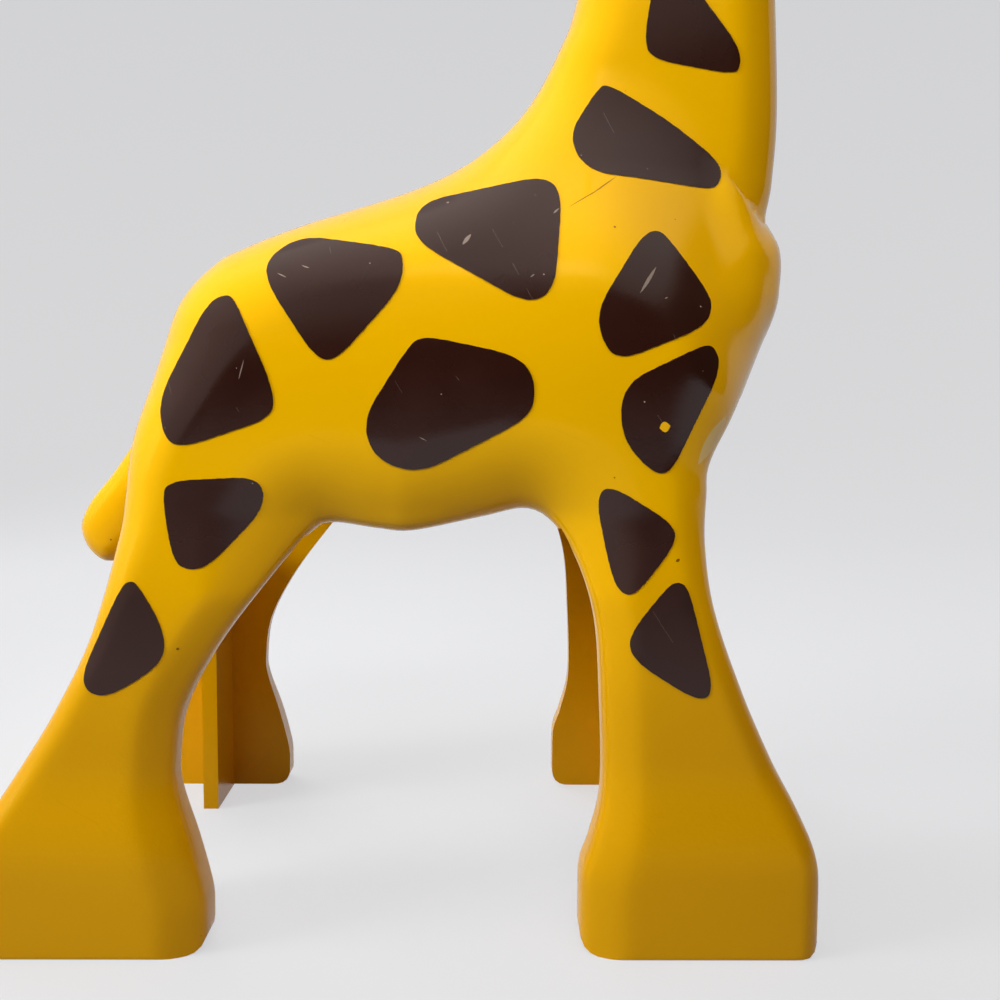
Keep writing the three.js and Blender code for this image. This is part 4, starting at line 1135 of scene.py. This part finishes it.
class GIRAFFE_OT_body(bpy.types.Operator):
    """Build the two half shells with their legs, ribs and ears"""

    bl_idname = "giraffe.body"
    bl_label = "Body halves"

    def execute(self, context):
        figure = Figure(context.scene.giraffe_sizes)
        face = triangulated(figure.outline, face_points(figure))
        solid = half_solid(figure, face)
        for side in ("right", "left"):
            shell = make_object(f"body_{side}_half", *solid, figure, side)
            combine(shell, make_object("tool", *channel(figure), figure, side), "DIFFERENCE")
            for added in (
                leg_rib(figure, -1, REAR_RIB_TOP_SHARES),
                leg_rib(figure, 1, FRONT_RIB_TOP_SHARES),
                ear(figure),
            ):
                combine(shell, make_object("tool", *added, figure, side), "UNION")
            material = yellow_abs(context.scene.giraffe_finishes)
            finish_piece(shell, material, "yellow_abs", f"{side}_shell")
        return {"FINISHED"}


class GIRAFFE_OT_tail(bpy.types.Operator):
    """Build the tail flap that is caught in the seam"""

    bl_idname = "giraffe.tail"
    bl_label = "Tail"

    def execute(self, context):
        figure = Figure(context.scene.giraffe_sizes)
        size = figure.size
        points = figure.body_points(TAIL_SHARES)
        outline = resampled(np.vstack((spline(points), points[-1:])), size.outline_step)
        inner = inward(outline)
        thinner = Thinner(size.skin_step)
        thinner.add(outline, 0)
        for turn in np.linspace(0, math.pi / 2, EDGE_RINGS)[1:]:
            depth = size.tail_round * (1 - math.cos(turn))
            if depth > LEAST_APART:
                ring = outline + inner * depth
                ring = well_inside(outline, ring, depth * TAIL_CLEAR_SHARE)
                thinner.add(ring, depth * TAIL_APART_SHARE)
        face = triangulated(outline, np.array(thinner.kept[len(outline) :]))
        gap = distance_to(outline, face.points)
        half = rounded(size.tail_width / 2, size.tail_round, gap)
        flap = make_object("tail_flap", *lifted(face, half, -half), figure, "right")
        finish_piece(flap, yellow_abs(context.scene.giraffe_finishes), "yellow_abs", "tail")
        return {"FINISHED"}


class GIRAFFE_OT_ossicones(bpy.types.Operator):
    """Build the two brown ossicones on the crown of the head"""

    bl_idname = "giraffe.ossicones"
    bl_label = "Ossicones"

    def execute(self, context):
        figure = Figure(context.scene.giraffe_sizes)
        size = figure.size
        place = figure.body_points([OSSICONE_SHARE])[0]
        stem = size.ossicone_stem / 2
        knob = size.ossicone_knob / 2
        centre = size.ossicone_height - knob
        profile = [(stem, -size.wall)]
        profile += [(stem * share, level) for share, level in STEM_SHARES]
        turns = np.linspace(KNOB_START, math.pi / 2, KNOB_RINGS)
        profile += [(knob * math.cos(t), centre + knob * math.sin(t)) for t in turns[:-1]]
        corners = [(0, 0, -size.wall)]
        for radius, level in profile:
            for j in range(OSSICONE_SIDES):
                angle = 2 * math.pi * j / OSSICONE_SIDES
                corners.append((radius * math.cos(angle), radius * math.sin(angle), level))
        corners.append((0, 0, centre + knob))
        rings = ring_faces(len(profile), OSSICONE_SIDES)
        # These rings go up, so their faces are turned over
        faces = [(first, *reversed(others)) for first, *others in rings]
        corners = np.array(corners) + (place[0], -size.ossicone_spacing / 2, place[1])
        material = moulded_brown_abs(context.scene.giraffe_finishes)
        for side in ("right", "left"):
            horn = make_object(f"ossicone_{side}", corners, faces, figure, side)
            finish_piece(horn, material, "brown_abs", f"{side}_ossicone")
        return {"FINISHED"}


class GIRAFFE_OT_patches(bpy.types.Operator):
    """Print the dark patches on both sides"""

    bl_idname = "giraffe.patches"
    bl_label = "Printed patches"

    def execute(self, context):
        figure = Figure(context.scene.giraffe_sizes)
        material = brown_ink(context.scene.giraffe_finishes)
        size = figure.size
        for number, (name, shares) in enumerate(PATCH_SHARES.items()):
            corners = figure.body_points(shares)
            outline = patch_outline(corners, size.patch_corner, size.ink_waver, number)
            for side in ("right", "left"):
                printed_film(f"patch_{name}", outline, figure, side, material, "brown_print")
        return {"FINISHED"}


class GIRAFFE_OT_face(bpy.types.Operator):
    """Print the eyes, their glints and the nostrils"""

    bl_idname = "giraffe.face"
    bl_label = "Printed face"

    def execute(self, context):
        figure = Figure(context.scene.giraffe_sizes)
        finishes = context.scene.giraffe_finishes
        size = figure.size
        eye, glint, nostril = figure.body_points([EYE_SHARE, GLINT_SHARE, NOSTRIL_SHARE])
        black = pad_printed_eye_ink("Black ink, pad printed", finishes.black, finishes)
        white = pad_printed_eye_ink("White ink, pad printed", finishes.white, finishes)
        brown = brown_ink(finishes)
        oval = ellipse(eye, size.eye_width, size.eye_height)
        dot = ellipse(glint, size.glint_diameter, size.glint_diameter)
        spot = ellipse(nostril, *(size.nostril_diameter * share for share in NOSTRIL_SHARES))
        for side in ("right", "left"):
            printed_film("eye", oval, figure, side, black, "black_print", hole=dot)
            printed_film("eye_glint", dot, figure, side, white, "white_print")
            printed_film("nostril", spot, figure, side, brown, "brown_print")
        return {"FINISHED"}


class GIRAFFE_OT_stage(bpy.types.Operator):
    """Set up the floor, the lamps and the camera"""

    bl_idname = "giraffe.stage"
    bl_label = "Stage"

    def execute(self, context):
        scene = context.scene
        stage = scene.giraffe_stage
        add_backdrop(pale_backdrop(scene.giraffe_finishes, stage.glow))
        add_world(scene, stage)
        for name, power, *box in SOFT_BOXES:
            add_lamp(name, getattr(stage, power), *box)
        add_camera(scene, Figure(scene.giraffe_sizes), stage.focal_length)
        scene.view_settings.view_transform = "Standard"
        return {"FINISHED"}


def add_lamp(name, power, place, width, target, spread):
    lamp = bpy.data.lights.new(name, "AREA")
    lamp.shape = "SQUARE"
    lamp.size = width * MM
    lamp.energy = power
    lamp.spread = math.radians(spread)
    thing = bpy.data.objects.new(name, lamp)
    thing.location = Vector(place) * MM
    aim = Vector(target) - Vector(place)
    thing.rotation_euler = aim.to_track_quat("-Z", "Y").to_euler()
    thing.visible_camera = False
    thing.visible_glossy = False
    bpy.context.scene.collection.objects.link(thing)


def add_world(scene, stage):
    """A room with bright windows high up, brightest overhead and on the left, and a little warm
    light low down on the right. The camera sees it as pale as the backdrop."""
    scene.world = bpy.data.worlds.new("Room")
    add = node_adder(scene.world)
    direction = add("SeparateXYZ", [add("TexCoord").outputs["Generated"]]).outputs
    path = add("LightPath").outputs
    mirrored = path["Is Glossy Ray"]
    rise = (direction["X"], WINDOW_LEAN, direction["Z"])
    rise = add("Math", rise, operation="MULTIPLY_ADD")
    rise = add("Math", (mirrored, MIRRORED_RISE, rise), operation="MULTIPLY_ADD")
    window = add("MapRange", (rise, *WINDOW_RISE), interpolation_type="SMOOTHSTEP")
    light = window
    for factor in (
        add("MapRange", (direction["X"], *BRIGHT_LEFT)),
        add("MapRange", (direction["Z"], *BRIGHT_OVERHEAD)),
        add("MapRange", (mirrored, 0, 1, stage.sky, stage.mirrored_sky)),
    ):
        light = add("Math", (light, factor), operation="MULTIPLY")
    warm = add("MapRange", (direction["X"], *WARM_RIGHT, stage.warmth))
    fade = add("MapRange", (mirrored, 0, 1, 1, MIRRORED_WARMTH))
    low = add("Math", (warm, fade), operation="MULTIPLY")
    colour = overlaid(add, linear(WARM_LIGHT), (window, linear(WINDOW_LIGHT)))
    room = add("Background", (colour, add("Math", (light, low), operation="ADD")))
    pale = add("Background", [linear(PALE_WALL)])
    add("OutputWorld", [add("MixShader", (path["Is Camera Ray"], room, pale))])


def add_backdrop(material):
    """A floor that curves up into a wall behind the figure."""
    bend = BACKDROP_BACK - BACKDROP_RADIUS
    profile = [(BACKDROP_FRONT, 0), (bend, 0)]
    for turn in np.linspace(0, math.pi / 2, BACKDROP_STEPS)[1:]:
        level = BACKDROP_RADIUS - BACKDROP_RADIUS * math.cos(turn)
        profile.append((bend + BACKDROP_RADIUS * math.sin(turn), level))
    profile.append((BACKDROP_BACK, BACKDROP_TOP))
    sides = (-BACKDROP_SIDE, BACKDROP_SIDE)
    corners = [(x * MM, y * MM, z * MM) for y, z in profile for x in sides]
    faces = [(2 * i, 2 * i + 1, 2 * i + 3, 2 * i + 2) for i in range(len(profile) - 1)]
    mesh = bpy.data.meshes.new("backdrop")
    mesh.from_pydata(corners, [], faces)
    mesh.shade_smooth()
    mesh.materials.append(material)
    thing = bpy.data.objects.new("backdrop", mesh)
    bpy.context.scene.collection.objects.link(thing)


def add_camera(scene, figure, focal_length):
    """A near view of the figure's right side, square to it and a little above the belly."""
    pitch, yaw, roll = (math.radians(angle) for angle in CAMERA_TURN)
    turn = Matrix.Rotation(yaw, 4, "Z") @ Matrix.Rotation(math.pi / 2 - pitch, 4, "X")
    camera = bpy.data.cameras.new("Camera")
    camera.lens = focal_length
    camera.sensor_width = SENSOR_WIDTH
    camera.clip_start, camera.clip_end = CLIP_DISTANCES
    thing = bpy.data.objects.new("Camera", camera)
    x, y, z = CAMERA_PLACE
    place = Matrix.Translation(Vector((figure.origin + x, y, z)) * MM)
    thing.matrix_world = place @ turn @ Matrix.Rotation(-roll, 4, "Z")
    scene.collection.objects.link(thing)
    scene.camera = thing


class GIRAFFE_PT_panel(bpy.types.Panel):
    """The giraffe's sizes, colours and build steps"""

    bl_label = "Toy giraffe"
    bl_idname = "GIRAFFE_PT_panel"
    bl_space_type = "VIEW_3D"
    bl_region_type = "UI"
    bl_category = "Giraffe"

    def draw(self, context):
        layout = self.layout
        for step in BUILD_STEPS:
            layout.operator(step.bl_idname)
        for title, group in (
            ("Sizes", context.scene.giraffe_sizes),
            ("Finishes", context.scene.giraffe_finishes),
            ("Stage", context.scene.giraffe_stage),
        ):
            box = layout.box()
            box.label(text=title)
            for name in type(group).__annotations__:
                box.prop(group, name)


BUILD_STEPS = (
    GIRAFFE_OT_body, GIRAFFE_OT_tail, GIRAFFE_OT_ossicones, GIRAFFE_OT_patches,
    GIRAFFE_OT_face, GIRAFFE_OT_stage,
)
CLASSES = (GiraffeSizes, GiraffeFinishes, GiraffeStage, *BUILD_STEPS, GIRAFFE_PT_panel)


def register():
    for cls in CLASSES:
        bpy.utils.register_class(cls)
    bpy.types.Scene.giraffe_sizes = PointerProperty(type=GiraffeSizes)
    bpy.types.Scene.giraffe_finishes = PointerProperty(type=GiraffeFinishes)
    bpy.types.Scene.giraffe_stage = PointerProperty(type=GiraffeStage)


def unregister():
    del bpy.types.Scene.giraffe_stage
    del bpy.types.Scene.giraffe_finishes
    del bpy.types.Scene.giraffe_sizes
    for cls in reversed(CLASSES):
        bpy.utils.unregister_class(cls)


def main():
    register()
    bpy.ops.giraffe.body()
    bpy.ops.giraffe.tail()
    bpy.ops.giraffe.ossicones()
    bpy.ops.giraffe.patches()
    bpy.ops.giraffe.face()
    bpy.ops.giraffe.stage()


if __name__ == "__main__":
    main()
